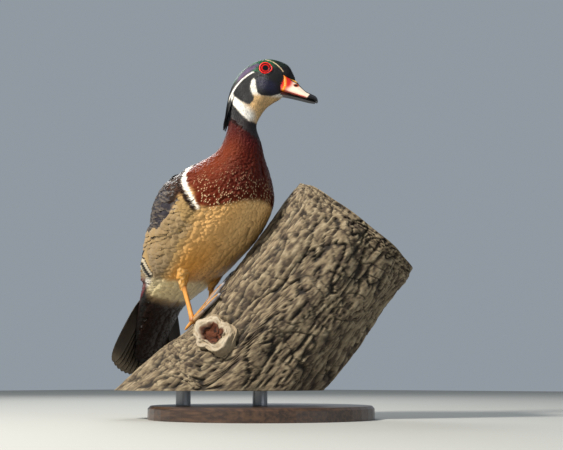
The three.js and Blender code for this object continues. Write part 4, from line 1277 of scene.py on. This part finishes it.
k = np.repeat(np.arange(TAIL_PAIRS), 2)
sign = np.tile([1.0, -1.0], TAIL_PAIRS)
f = (k + 0.5) / TAIL_PAIRS
way = TAIL_DOWN * np.cos(TAIL_FAN * f)[:, None]
way[:, 1] -= sign * np.sin(TAIL_FAN * f)
root = np.stack([-143 + 0 * f, -sign * (2 + 19 * f), -150 + 0 * f], -1) + BIRD_AT
root += TAIL_BACK * (3.5 - 1.5 * k + np.where(k == 0, 0.75 * sign, 0))[:, None]


def tail_shade(shape, t):
    """Dark brown with a paler end."""
    return mix(cover(shape, linear("#3d352c")), linear("#6d6353"), ease(0.75, 0.98, t * np.ones(shape)))


tail_piece = blades("tail_feathers", root, way, np.tile(TAIL_BACK, (len(k), 1)),
                    TAIL_LONG * (1 - 0.13 * f * f), np.full(len(k), TAIL_WIDE), FLIGHT_WEB, tail_shade,
                    marks_of(f, band=0.3), 3 * f * f)
keep(tail_piece, "flight_plumage", "tail")


# Limb: bark over the crest line, cut level at the foot and square at the top
def limb_axis(u):
    crest = rows_at(LIMB_CREST, u)
    way = unit(rows_at(LIMB_CREST, u + 0.05) - crest)
    lift = -way[..., 1:] * VIEW_RIGHT + way[..., :1] * UP
    top = crest[..., :1] * VIEW_RIGHT + crest[..., 1:] * UP + VIEW_NEAR * LIMB_DEPTH + BIRD_AT
    return top, lift


def limb_point(u, angle, over=0.0):
    top, lift = limb_axis(np.asarray(u, float))
    radius = (LIMB_RADIUS + np.asarray(over, float))[..., None]
    c, s = np.cos(angle)[..., None], np.sin(angle)[..., None]
    return top - LIMB_RADIUS * lift + radius * (c * lift + s * VIEW_NEAR)


def bark_over(u, angle):
    quiet = 1 - np.exp(-((angle / 0.5) ** 2))
    ridge = np.sin(9 * angle + 1.3 * np.sin(2.1 * u)) + 0.6 * np.sin(5 * angle - 3.1 * u)
    return (2.4 * ridge - 0.5) * (0.25 + 0.75 * quiet)


# Millimetres along the crest for one station
crest_far, crest_near = (limb_point(np.array(at), np.array(0.0)) for at in (3.5, 2.5))
LIMB_UNIT = np.linalg.norm(crest_far - crest_near)
BARK_ROWS, BARK_COLUMNS = 300, 290
LIMB_END = len(LIMB_CREST) - 1.0
HALVINGS = 40
angle = -math.pi + TAU * np.arange(BARK_COLUMNS) / BARK_COLUMNS
low_u = np.full(BARK_COLUMNS, 0.0)
high_u = np.full(BARK_COLUMNS, 4.0)
# Halve the reach again and again to find where the bark meets the height of the foot
for step in range(HALVINGS):
    middle = (low_u + high_u) / 2
    under = limb_point(middle, angle, bark_over(middle, angle))[:, 2] < LIMB_FOOT
    low_u = np.where(under, middle, low_u)
    high_u = np.where(under, high_u, middle)
t = np.linspace(0, 1, BARK_ROWS)[:, None]
bu = high_u[None] + (LIMB_END - high_u[None]) * t
ba = np.broadcast_to(angle, bu.shape)
BARK_PLATE = (30.0, 8.0)
BARK_BREAK = (15.0, 24.0)
BARK_GRAIN = (9.0, 3.2)
RIPPLE_HIGH, FURROW_DEEP, CRACK_DEEP = 0.9, 3.6, 1.8
KNOT_SINK = 11.0


def bark_noise(kind, size, shift, warp=0.0):
    """Noise over the limb at a size in millimetres along it and round it."""
    long = (bu * LIMB_UNIT / size[0] + shift).ravel().tolist()
    c = (np.cos(ba) * LIMB_RADIUS / size[1]).ravel().tolist()
    d = (np.sin(ba) * LIMB_RADIUS / size[1]).ravel().tolist()
    spots = (Vector((x, y + warp * math.sin(1.7 * x), z)) for x, y, z in zip(long, c, d))
    return np.array([kind(spot) for spot in spots]).reshape(bu.shape)


def grain_kind(at):
    return noise.fractal(at, 0.9, 2.1, 4)


ripple = bark_noise(grain_kind, BARK_GRAIN, 3.0)
furrow = ease(0.15, 0.03, np.abs(bark_noise(noise.noise, BARK_PLATE, 0.0, 0.5) + 0.10 * ripple))
crack = ease(0.07, 0.0, np.abs(bark_noise(noise.noise, BARK_BREAK, 9.0, 0.3) + 0.08 * ripple))
ends = ease(0.0, 0.02, t) * ease(1.0, 0.985, t)
furrow, crack = furrow * ends, crack * ends
quiet = 0.4 + 0.6 * (1 - np.exp(-((ba / 0.4) ** 2)))
from_knot = np.hypot((bu - KNOT_AT[0]) * LIMB_UNIT, (ba - KNOT_AT[1]) * LIMB_RADIUS)
worn = RIPPLE_HIGH * ripple - FURROW_DEEP * furrow - CRACK_DEEP * crack + 0.8
over = bark_over(bu, ba) - KNOT_SINK * ease(19, 13, from_knot) + worn * quiet * ease(0.0, 0.03, t)
bark_rings = limb_point(bu, ba, over)
bark_rings[0, :, 2] = LIMB_FOOT
# Painted light and shade: darker in the low ripples and lighter on the high ones, near-black in the furrows
# and cracks
shade = layered(
    cover(bu.shape, linear("#75664f")),
    (linear("#3f3327"), ease(-0.1, 0.4, -ripple)),
    (linear("#9a8c72"), ease(0.1, 0.6, ripple) * 0.7),
    (linear("#130d09"), np.maximum(furrow, crack * 0.8) * 0.95),
)

# Sawn end: growth rings inside a rim of bark
SAWN = np.concatenate([[0.985, 0.955, 0.945], np.linspace(0.93, 0.03, 22)])
heart_at = bark_rings[-1].mean(0)
end_rings = heart_at + (bark_rings[-1][None] - heart_at) * SAWN[:, None, None]
year = 0.5 + 0.5 * np.sin(SAWN * LIMB_RADIUS * 1.1)[:, None] * np.ones((1, BARK_COLUMNS))
end_shade = mix(cover(year.shape, linear("#a98c62")), linear("#7f6240"), year)
end_shade[:2] = linear("#4a3a2a")
bark_rings = np.concatenate([bark_rings, end_rings])
shade = np.concatenate([shade, end_shade])
keep(tube_piece("bark", bark_rings, BARK, tint=with_alpha(shade)), "bark", "perch")

# Knot where a branch was cut, with a pale rolled rim and a dark hollow heart
KNOT_PROFILE = np.array([
    [25.0, -14], [25.5, -6], [25.0, 1], [22.5, 5], [19.0, 7.4], [15.5, 8],
    [13.0, 6], [11.0, 2.5], [9.0, -1], [5.0, -3.5], [1.0, -5],
])
KNOT_RINGS, KNOT_SIDES = 60, 90
profile_at = rows_at(KNOT_PROFILE, np.linspace(0, len(KNOT_PROFILE) - 1, KNOT_RINGS))
turn = TAU * np.arange(KNOT_SIDES) / KNOT_SIDES
knot_spot = [np.array(value) for value in KNOT_AT]
middle = limb_point(*knot_spot)
out = middle - limb_point(*knot_spot, -10.0)
out /= np.linalg.norm(out)
side_way = np.cross(out, UP)
side_way /= np.linalg.norm(side_way)
up_way = np.cross(side_way, out)
rough = np.array([
    [noise.fractal(Vector((r * 0.15, 2 * math.cos(q), 2 * math.sin(q))), 1.0, 2.0, 4) for q in turn]
    for r in range(KNOT_RINGS)
])
radius = profile_at[:, :1] * (1 + 0.2 * np.sin(2 * turn + 0.6) + 0.08 * np.sin(5 * turn)) + 2.6 * rough
height = profile_at[:, 1:] * (1 + 0.45 * np.sin(turn + 2.4)) + 3.4 * rough
rings = middle + radius[..., None] * (np.cos(turn)[:, None] * side_way + np.sin(turn)[:, None] * up_way)
rings = rings + height[..., None] * out
knot_at = profile_at[:, :1] * np.ones_like(radius)
pale = ease(24, 20, knot_at) * ease(12, 15, knot_at) * ease(-0.5, 0.5, rough)
# The rim paler on its raised bumps and the heart near-black where it sinks: painted light and painted shade
# over the rim's weathered grey and the heartwood's brown
heart = layered(
    cover(radius.shape, linear("#8a7a62")),
    (linear("#aa9e8a"), pale),
    (linear("#5a2e16"), ease(15, 12.5, knot_at)),
    (linear("#22120a"), ease(0.1, -0.5, rough) * ease(14, 12, knot_at)),
)
keep(tube_piece("knot", rings, BARK, tint=with_alpha(heart)), "bark", "perch")

# Legs and webbed feet
LEGS = {
    "right": {"hip": (-62, -33, -104), "ankle": (-66, -28, -142), "heel": (-55, -26, -183)},
    "left": {"hip": (-58, 33, -100), "ankle": (-71, 27, -141), "heel": (-71, 25, -170)},
}
TOES = ((-24, 44.0), (-3, 51.0), (18, 45.0))
FOOT_YAW = 10
TOE_RADIUS = 2.6
# Added to a toe's turn, so that piece names hold no minus sign
TOE_TAG = 30
WEB_OVER = 3.4


def foot_spot(heel):
    """Station and angle on the limb under a heel."""
    near = np.dot(np.array(heel), VIEW_NEAR) - LIMB_DEPTH
    angle = math.asin(near / LIMB_RADIUS)
    u = np.arange(1.5, 4.5, 0.01)
    away = np.linalg.norm(limb_point(u, np.full(len(u), angle)) - (np.array(heel) + BIRD_AT), axis=1)
    return u[np.argmin(away)], angle


def on_limb(foot, forward, sideways, over):
    """Point over the limb, so many millimetres forward and sideways of a foot's place."""
    u = foot[0] + np.asarray(forward) / LIMB_UNIT
    return limb_point(u, foot[1] + np.asarray(sideways) / LIMB_RADIUS, over)


def toe_path(foot, turn, long, t, over):
    angle = np.radians(turn + FOOT_YAW)
    return on_limb(foot, long * t * np.cos(angle), long * t * np.sin(angle), over)


def tube_rings(path, radii, columns=20):
    """Rings round a smooth path; radii holds one value or a value across and one through."""
    s = np.linspace(0, len(path) - 1, 8 * len(path))
    line = rows_at(np.asarray(path), s)
    size = rows_at(np.asarray(radii, float).reshape(len(path), -1), s)
    way = unit(np.gradient(line, axis=0))
    sideways = unit(np.array([0, 1.0, 0]) - way * way[:, 1:2])
    front = np.cross(way, sideways)
    q = TAU * np.arange(columns) / columns
    across, through = size[:, :1], size[:, -1:]
    wide = (across * np.cos(q))[..., None] * sideways[:, None]
    return line[:, None] + wide + (through * np.sin(q))[..., None] * front[:, None]


def leg_tint(place, joint=0.0):
    base = cover(place.shape[:2], linear("#c78a3c"))
    return mix(base, linear("#6e2c14"), np.clip(joint, 0, 1) * np.ones(place.shape[:2]))


def toe_tint(place):
    """Toes: orange at the root, greyer towards the claw, darker at each joint."""
    along = np.linspace(0, 1, place.shape[0])[:, None] * np.ones(place.shape[:2])
    base = mix(cover(place.shape[:2], linear("#b58748")), linear("#7d7a7c"), ease(0.0, 0.5, along))
    joints = 0.6 * ease(0.08, 0.0, np.abs(along - 0.45)) + 0.5 * ease(0.08, 0.0, np.abs(along - 0.75))
    return mix(base, linear("#4a3426"), joints)


def scute_tree():
    """Node group: plates set along a path at an even pitch, facing out of the leg."""
    tree = bpy.data.node_groups.new("scutes", "GeometryNodeTree")
    face = tree.interface
    face.new_socket("Path", in_out="INPUT", socket_type="NodeSocketGeometry")
    pitch = face.new_socket("Pitch", in_out="INPUT", socket_type="NodeSocketFloat")
    width = face.new_socket("Width", in_out="INPUT", socket_type="NodeSocketFloat")
    seed = face.new_socket("Seed", in_out="INPUT", socket_type="NodeSocketInt")
    skin_slot = face.new_socket("Material", in_out="INPUT", socket_type="NodeSocketMaterial")
    face.new_socket("Scutes", in_out="OUTPUT", socket_type="NodeSocketGeometry")
    group_in = add(tree, "NodeGroupInput").outputs
    curve = add(tree, "GeometryNodeMeshToCurve", {"Mesh": group_in["Path"]})
    even = add(tree, "GeometryNodeResampleCurve", {"Curve": curve.outputs[0]}, mode="LENGTH")
    tree.links.new(group_in["Pitch"], next(s for s in even.inputs if s.name == "Length"))
    plate = add(tree, "GeometryNodeMeshUVSphere", {"Segments": 8, "Rings": 5, "Radius": 0.5})
    out = add(tree, "GeometryNodeInputNamedAttribute", {"Name": "out"}, data_type="FLOAT_VECTOR")
    size = add(tree, "GeometryNodeInputNamedAttribute", {"Name": "size"}, data_type="FLOAT")
    along = add(tree, "GeometryNodeInputTangent")
    up = add(tree, "FunctionNodeAlignRotationToVector", {"Vector": out.outputs[0]}, axis="Z")
    turned = add(tree, "FunctionNodeAlignRotationToVector",
                 {"Rotation": up.outputs[0], "Vector": along.outputs[0]}, axis="Y", pivot_axis="Z")
    # Inputs 2 and 3 are the least and the most of a random number, and output 1 is the number
    spread = {2: 0.88, 3: 1.12, "Seed": group_in["Seed"]}
    vary = add(tree, "FunctionNodeRandomValue", spread, data_type="FLOAT")
    wide = calc(tree, "MULTIPLY", size.outputs[0], group_in["Width"])
    wide = calc(tree, "MULTIPLY", wide, vary.outputs[1])
    long = calc(tree, "MULTIPLY", group_in["Pitch"], 1.12)
    thick = calc(tree, "MULTIPLY", group_in["Pitch"], 0.5)
    scale = add(tree, "ShaderNodeCombineXYZ", {0: wide, 1: long, 2: thick})
    placed = add(tree, "GeometryNodeInstanceOnPoints", {
        "Points": even.outputs[0], "Instance": plate.outputs[0], "Rotation": turned.outputs[0],
        "Scale": scale.outputs[0],
    })
    real = add(tree, "GeometryNodeRealizeInstances", {0: placed.outputs[0]})
    skinned = {"Geometry": real.outputs[0], "Material": group_in["Material"]}
    done = add(tree, "GeometryNodeSetMaterial", skinned)
    end = add(tree, "NodeGroupOutput")
    tree.links.new(done.outputs[0], end.inputs[0])
    names = {"Pitch": pitch.identifier, "Width": width.identifier, "Seed": seed.identifier,
             "Material": skin_slot.identifier}
    return tree, names


SCUTES, SCUTE_INPUTS = scute_tree()


def scutes(name, paths, outs, sizes, pitch, material, colour):
    """Plates along the given paths, baked to a plain mesh."""
    verts = np.concatenate(paths)
    starts = np.cumsum([0] + [len(p) for p in paths])
    edges = [(i, i + 1) for a, b in zip(starts, starts[1:]) for i in range(a, b - 1)]
    mesh = bpy.data.meshes.new(name)
    mesh.from_pydata((verts * MM).tolist(), edges, [])
    add_layer(mesh, "out", np.concatenate(outs))
    add_layer(mesh, "size", np.concatenate(sizes) * MM)
    carrier = bpy.data.objects.new(name, mesh)
    bpy.context.collection.objects.link(carrier)
    modifier = carrier.modifiers.new("scutes", "NODES")
    modifier.node_group = SCUTES
    modifier[SCUTE_INPUTS["Pitch"]] = pitch * MM
    modifier[SCUTE_INPUTS["Width"]] = 1.0
    modifier[SCUTE_INPUTS["Seed"]] = SCUTE_SEED
    modifier[SCUTE_INPUTS["Material"]] = material
    graph = bpy.context.evaluated_depsgraph_get()
    baked = bpy.data.meshes.new_from_object(carrier.evaluated_get(graph))
    carrier.modifiers.clear()
    carrier.data = baked
    baked.polygons.foreach_set("use_smooth", np.ones(len(baked.polygons), bool))
    for old in [a.name for a in baked.attributes if a.name in ("out", "size")]:
        baked.attributes.remove(baked.attributes[old])
    add_layer(baked, "tint", np.tile([*colour, 1.0], (len(baked.vertices), 1)))
    return carrier


SCUTE_TINT = linear("#b98238")
SCUTE_PITCH, SCUTE_SEED = 1.5, 7
WEB_STEPS = 24
# Across and through at each place of the shank's line, from the heel up
SHANK_SIZES = [
    (3.2, 3.4), (3.7, 4.1), (3.0, 3.4), (2.2, 2.8), (2.3, 2.9),
    (3.2, 3.7), (3.9, 4.4), (3.4, 3.8), (4.5, 4.5),
]
for name, leg in LEGS.items():
    foot = foot_spot(leg["heel"])
    ankle = np.array(leg["ankle"], float) + BIRD_AT
    hip = np.array(leg["hip"], float) + BIRD_AT
    heel_top = on_limb(foot, 0.0, 0.0, 5.2)
    knuckle = heel_top + (ankle - heel_top) * 0.1
    shank_line = [on_limb(foot, 1.0, 0.0, 3.0), heel_top, knuckle]
    shank_line += [knuckle + (ankle - knuckle) * s for s in (0.3, 0.7, 0.9, 1.0)]
    shank_line += [ankle + (hip - ankle) * s for s in (0.14, 0.34)]
    rings = tube_rings(shank_line, SHANK_SIZES, 24)
    knob = np.exp(-((np.linalg.norm(rings.mean(1) - heel_top, axis=1) / 5) ** 2))
    knob += np.exp(-((np.linalg.norm(rings.mean(1) - ankle, axis=1) / 6) ** 2))
    keep(tube_piece(f"shank_{name}_skin", rings, LEG, tint=with_alpha(leg_tint(rings, 0.7 * knob[:, None]))),
         "leg_skin", f"shank_{name}")
    line = rings.mean(1)[12:-20]
    face = np.tile(VIEW_RIGHT * 0.8 + VIEW_NEAR * 0.25, (len(line), 1))
    run = (line[-1] - line[0]) / np.linalg.norm(line[-1] - line[0])
    face = unit(face - run * (face @ run)[:, None])
    paths, outs, widths = [line + face * 2.5], [face], [np.full(len(line), 4.6)]
    for turn_deg, long in TOES:
        t = np.linspace(0.04, 0.82, 40)
        radii = TOE_RADIUS * np.interp(t, [0, 0.33, 0.42, 0.7, 0.84], [1.25, 1.1, 0.95, 1.05, 0.8])
        middle = toe_path(foot, turn_deg, long, t, TOE_RADIUS + 1.2 + 0.6 * (1 - t))
        up = unit(toe_path(foot, turn_deg, long, t, TOE_RADIUS + 6.2) - middle)
        stops = np.array([-0.06, 0.1, 0.33, 0.42, 0.7, 0.84, 0.9])
        centres = toe_path(foot, turn_deg, long, stops, TOE_RADIUS + 1.2 + 0.6 * (1 - stops))
        toe_size = TOE_RADIUS * np.array([1.1, 1.22, 1.08, 0.95, 1.03, 0.8, 0.45])
        toe_rings = tube_rings(centres, toe_size, 16)
        toe_shade = with_alpha(toe_tint(toe_rings))
        keep(tube_piece(f"toe_{name}_{turn_deg + TOE_TAG}", toe_rings, LEG, tint=toe_shade),
             "leg_skin", f"foot_{name}")
        claw_t = np.array([0.8, 0.88, 0.96, 1.05])
        claw = np.stack([toe_path(foot, turn_deg, long, v, o) for v, o in zip(claw_t, (3.6, 4.3, 3.7, 1.8))])
        claw_rings = tube_rings(claw, TOE_RADIUS * np.array([0.66, 0.5, 0.3, 0.06]), 12)
        claw_shade = cover(claw_rings.shape[:2], linear("#241a16"))
        keep(tube_piece(f"claw_{name}_{turn_deg + TOE_TAG}", claw_rings, HORN, tint=with_alpha(claw_shade)),
             "leg_skin", f"foot_{name}")
        paths.append(middle + up * (radii * 0.92)[:, None])
        outs.append(up)
        widths.append(radii * 1.7)
    keep(scutes(f"scutes_{name}", paths, outs, widths, SCUTE_PITCH, LEG, SCUTE_TINT),
         "leg_skin", f"foot_{name}")
    for first, second in zip(TOES, TOES[1:]):
        w = np.linspace(0, 1, WEB_STEPS)[None, :]
        reach = 0.06 + 0.94 * np.linspace(0, 1, WEB_STEPS)[:, None]
        turn_at = first[0] + (second[0] - first[0]) * w
        long_at = first[1] + (second[1] - first[1]) * w
        t = (0.82 - 0.16 * np.sin(math.pi * w)) * reach
        fold = 0.35 * np.sin(5 * math.pi * w) * reach - 0.8 * np.sin(math.pi * w)
        top = toe_path(foot, turn_at, long_at, t, WEB_OVER + 0.45 + fold)
        base = toe_path(foot, turn_at, long_at, t, WEB_OVER - 0.35 + fold)
        sheet = np.concatenate([top, base[:, ::-1]], 1)
        grey = np.broadcast_to(0.6 * reach, sheet.shape[:2])
        web_shade = mix(cover(sheet.shape[:2], linear("#77695a")), linear("#454648"), grey)
        keep(tube_piece(f"web_{name}_{first[0] + TOE_TAG}", sheet, LEG, tint=with_alpha(web_shade)),
             "leg_skin", f"foot_{name}")
    hind_t = np.array([0.02, -0.14, -0.25, -0.34])
    hind = np.stack([toe_path(foot, 14, 50, v, 4.6 + 6 * v) for v in hind_t])
    hind_rings = tube_rings(hind, TOE_RADIUS * np.array([1.0, 0.8, 0.62, 0.12]), 12)
    keep(tube_piece(f"hind_toe_{name}", hind_rings, LEG, tint=with_alpha(leg_tint(hind_rings, 0.1))),
         "leg_skin", f"foot_{name}")

# Feathered thighs: small feathers over a tapering tuft down to the ankle
THIGH_COUNT = 420
THIGH_FEATHER = 5.5
# Places from the ankle towards the hip, with the tuft's radius and that of the feathers' roots
THIGH_AT = (0.16, 0.3, 0.5, 0.8, 1.15, 1.5)
THIGH_RADIUS = (3.6, 5.4, 8.0, 11.4, 13.6, 14.2)
ROOT_AT = (0.1, 0.3, 0.5, 0.8, 1.15, 1.5)
ROOT_RADIUS = (3.0, 5.2, 7.9, 11.3, 13.5, 14.1)
for name, leg in LEGS.items():
    ankle = np.array(leg["ankle"], float) + BIRD_AT
    hip = np.array(leg["hip"], float) + BIRD_AT
    rings = tube_rings([ankle + (hip - ankle) * s for s in THIGH_AT], THIGH_RADIUS, 32)
    # Painted shade: the thigh's skin is the reflected gold darkened, for the shade under its feathers
    thigh_shade = cover(rings.shape[:2], REFLECTED_GOLD * 0.7)
    keep(tube_piece(f"thigh_{name}_skin", rings, SKIN, tint=with_alpha(thigh_shade)), "body_plumage")
    count = THIGH_COUNT
    s = 0.1 + 1.15 * RNG.random(count) ** 0.8
    q = TAU * RNG.random(count)
    axis = (ankle - hip) / np.linalg.norm(ankle - hip)
    side_way = np.cross(axis, [0, 1.0, 0])
    side_way /= np.linalg.norm(side_way)
    front = np.cross(axis, side_way)
    out = np.cos(q)[:, None] * side_way + np.sin(q)[:, None] * front
    root = ankle + (hip - ankle) * s[:, None] + out * (np.interp(s, ROOT_AT, ROOT_RADIUS) - 0.8)[:, None]
    way = unit(axis - 0.06 * out)
    out = out - way * np.einsum("ij,ij->i", out, way)[:, None]
    long = 9.0 + 4.0 * RNG.random(count)
    t, w, h = (SMALL_LEAF[key][None, :, None] for key in ("t", "w", "h"))
    across = np.cross(way, out)
    x = w * SMALL_LEAF["wide"][None, :, None] * THIGH_FEATHER / 2
    place = root[:, None] + way[:, None] * t * long[:, None, None] + across[:, None] * x
    place = place + out[:, None] * (1.3 * t**0.7 + 0.2 * h)
    # Painted reflected light: warm gold from the limb on the thigh's white feathers, paler at random
    shade = mix(cover(place.shape[:2], REFLECTED_GOLD), PALE_BELLY, RNG.random((count, 1)) * 0.5)
    piece = feather_piece(f"thigh_{name}_coat", SMALL_LEAF, place, np.broadcast_to(out[:, None], place.shape),
                          0.5 * w * across[:, None] + 0 * place, x[..., 0] * np.ones((count, 1)),
                          (t * long[:, None, None])[..., 0], RNG.random(count), np.zeros((count, 3)), shade,
                          np.stack([0.7 + 0.1 * s / 1.3, 0.2 + 0.1 * q / TAU], -1), BREAST_WEB)
    keep(piece, "body_plumage")


# Stand: dark lacquered wood base and satin steel rods, in the solids' own shapes
def dress(node_name, material):
    thing = bpy.data.objects[node_name]
    for slot_at in thing.material_slots:
        slot_at.material = material


def wood_material():
    """Base: dark turned wood with grain stretched along one way, under satin lacquer."""
    material, tree, shader = new_material("base_wood", 0.35, coat_weight=0.3, coat_roughness=0.25)
    spot = add(tree, "ShaderNodeTexCoord").outputs["Object"]
    long = add(tree, "ShaderNodeMapping", {"Vector": spot, "Scale": (8.0, 90.0, 90.0)})
    grain = fractal(tree, 3.0, long.outputs[0], 6.0)
    colour = blend(tree, ramp(tree, grain, 0.35, 0.65), linear("#2a1c14"), linear("#4a3424"))
    tree.links.new(colour, shader.inputs["Base Color"])
    bump(tree, shader, grain, 0.1, 0.4)
    return material


def steel_material():
    """Rods: satin steel with faint turning marks round them."""
    material, tree, shader = new_material("rod_steel", 0.32, metallic=1.0, base_color=linear("#8e8f92"))
    spot = add(tree, "ShaderNodeTexCoord").outputs["Object"]
    rings = add(tree, "ShaderNodeMapping", {"Vector": spot, "Scale": (40.0, 40.0, 3000.0)})
    bump(tree, shader, fractal(tree, 1.0, rings.outputs[0], 2.0), 0.03, 0.4)
    return material


dress("stand_base", wood_material())
steel = steel_material()
dress("stand_rod_1", steel)
dress("stand_rod_2", steel)

# Floor, soft studio light and camera
FLOOR_SIZE = 6.0
floor_mesh = bpy.data.meshes.new("floor")
edge = FLOOR_SIZE / 2
corners = [(-edge, -edge, 0), (edge, -edge, 0), (edge, edge, 0), (-edge, edge, 0)]
floor_mesh.from_pydata(corners, [], [(0, 1, 2, 3)])
floor = bpy.data.objects.new("floor", floor_mesh)
bpy.context.collection.objects.link(floor)
floor_look = new_material("floor_paint", 0.9, base_color=linear("#a3a4a0"))[0]
floor_mesh.materials.append(floor_look)

world = bpy.data.worlds.new("studio")
bpy.context.scene.world = world
world.use_nodes = True
backdrop = world.node_tree.nodes["Background"]
backdrop.inputs["Color"].default_value = (*linear("#d6e2ee"), 1.0)
backdrop.inputs["Strength"].default_value = 0.42


def soft_light(name, at, size, power, colour):
    """Square area light that faces the bird."""
    lamp = bpy.data.lights.new(name, "AREA")
    lamp.size = size
    lamp.energy = power
    lamp.color = colour
    thing = bpy.data.objects.new(name, lamp)
    thing.location = at
    aim = Vector(BIRD_AT * MM) - Vector(at)
    thing.rotation_euler = aim.to_track_quat("-Z", "Y").to_euler()
    bpy.context.collection.objects.link(thing)


def around(right, near, up):
    return tuple((VIEW_RIGHT * right + VIEW_NEAR * near) + np.array([0, 0, up]))


soft_light("key", around(-1.25, 1.1, 1.4), 0.35, 84.0, (1.0, 0.95, 0.87))
soft_light("fill", around(1.4, 1.0, 0.7), 1.2, 6.0, (0.9, 0.95, 1.0))
soft_light("back", around(-0.4, -1.4, 1.3), 0.8, 16.0, (1.0, 1.0, 1.0))

AZIMUTH, ELEVATION = math.radians(40), math.radians(-7.5)
CAMERA_AWAY = 1400.0
SENSOR = 36.0
# Pixels from the bird's place to the middle of the frame, right and down
FRAME_SHIFT = (41.5, 60)
level = math.cos(ELEVATION)
toward = np.array([math.sin(AZIMUTH) * level, -math.cos(AZIMUTH) * level, math.sin(ELEVATION)])
across = np.array([math.cos(AZIMUTH), math.sin(AZIMUTH), 0.0])
upward = np.cross(toward, across)
target = BIRD_AT + FRAME_SHIFT[0] * MM_PER_PIXEL * across - FRAME_SHIFT[1] * MM_PER_PIXEL * upward
lens = bpy.data.cameras.new("photo")
lens.sensor_width = SENSOR
lens.lens = SENSOR * CAMERA_AWAY / (PHOTO_WIDTH * MM_PER_PIXEL)
lens.dof.use_dof = False
camera = bpy.data.objects.new("photo", lens)
camera.location = Vector((target + CAMERA_AWAY * toward) * MM)
camera.rotation_euler = Vector(toward).to_track_quat("Z", "Y").to_euler()
bpy.context.collection.objects.link(camera)
bpy.context.scene.camera = camera
bpy.context.scene.view_settings.view_transform = "Standard"
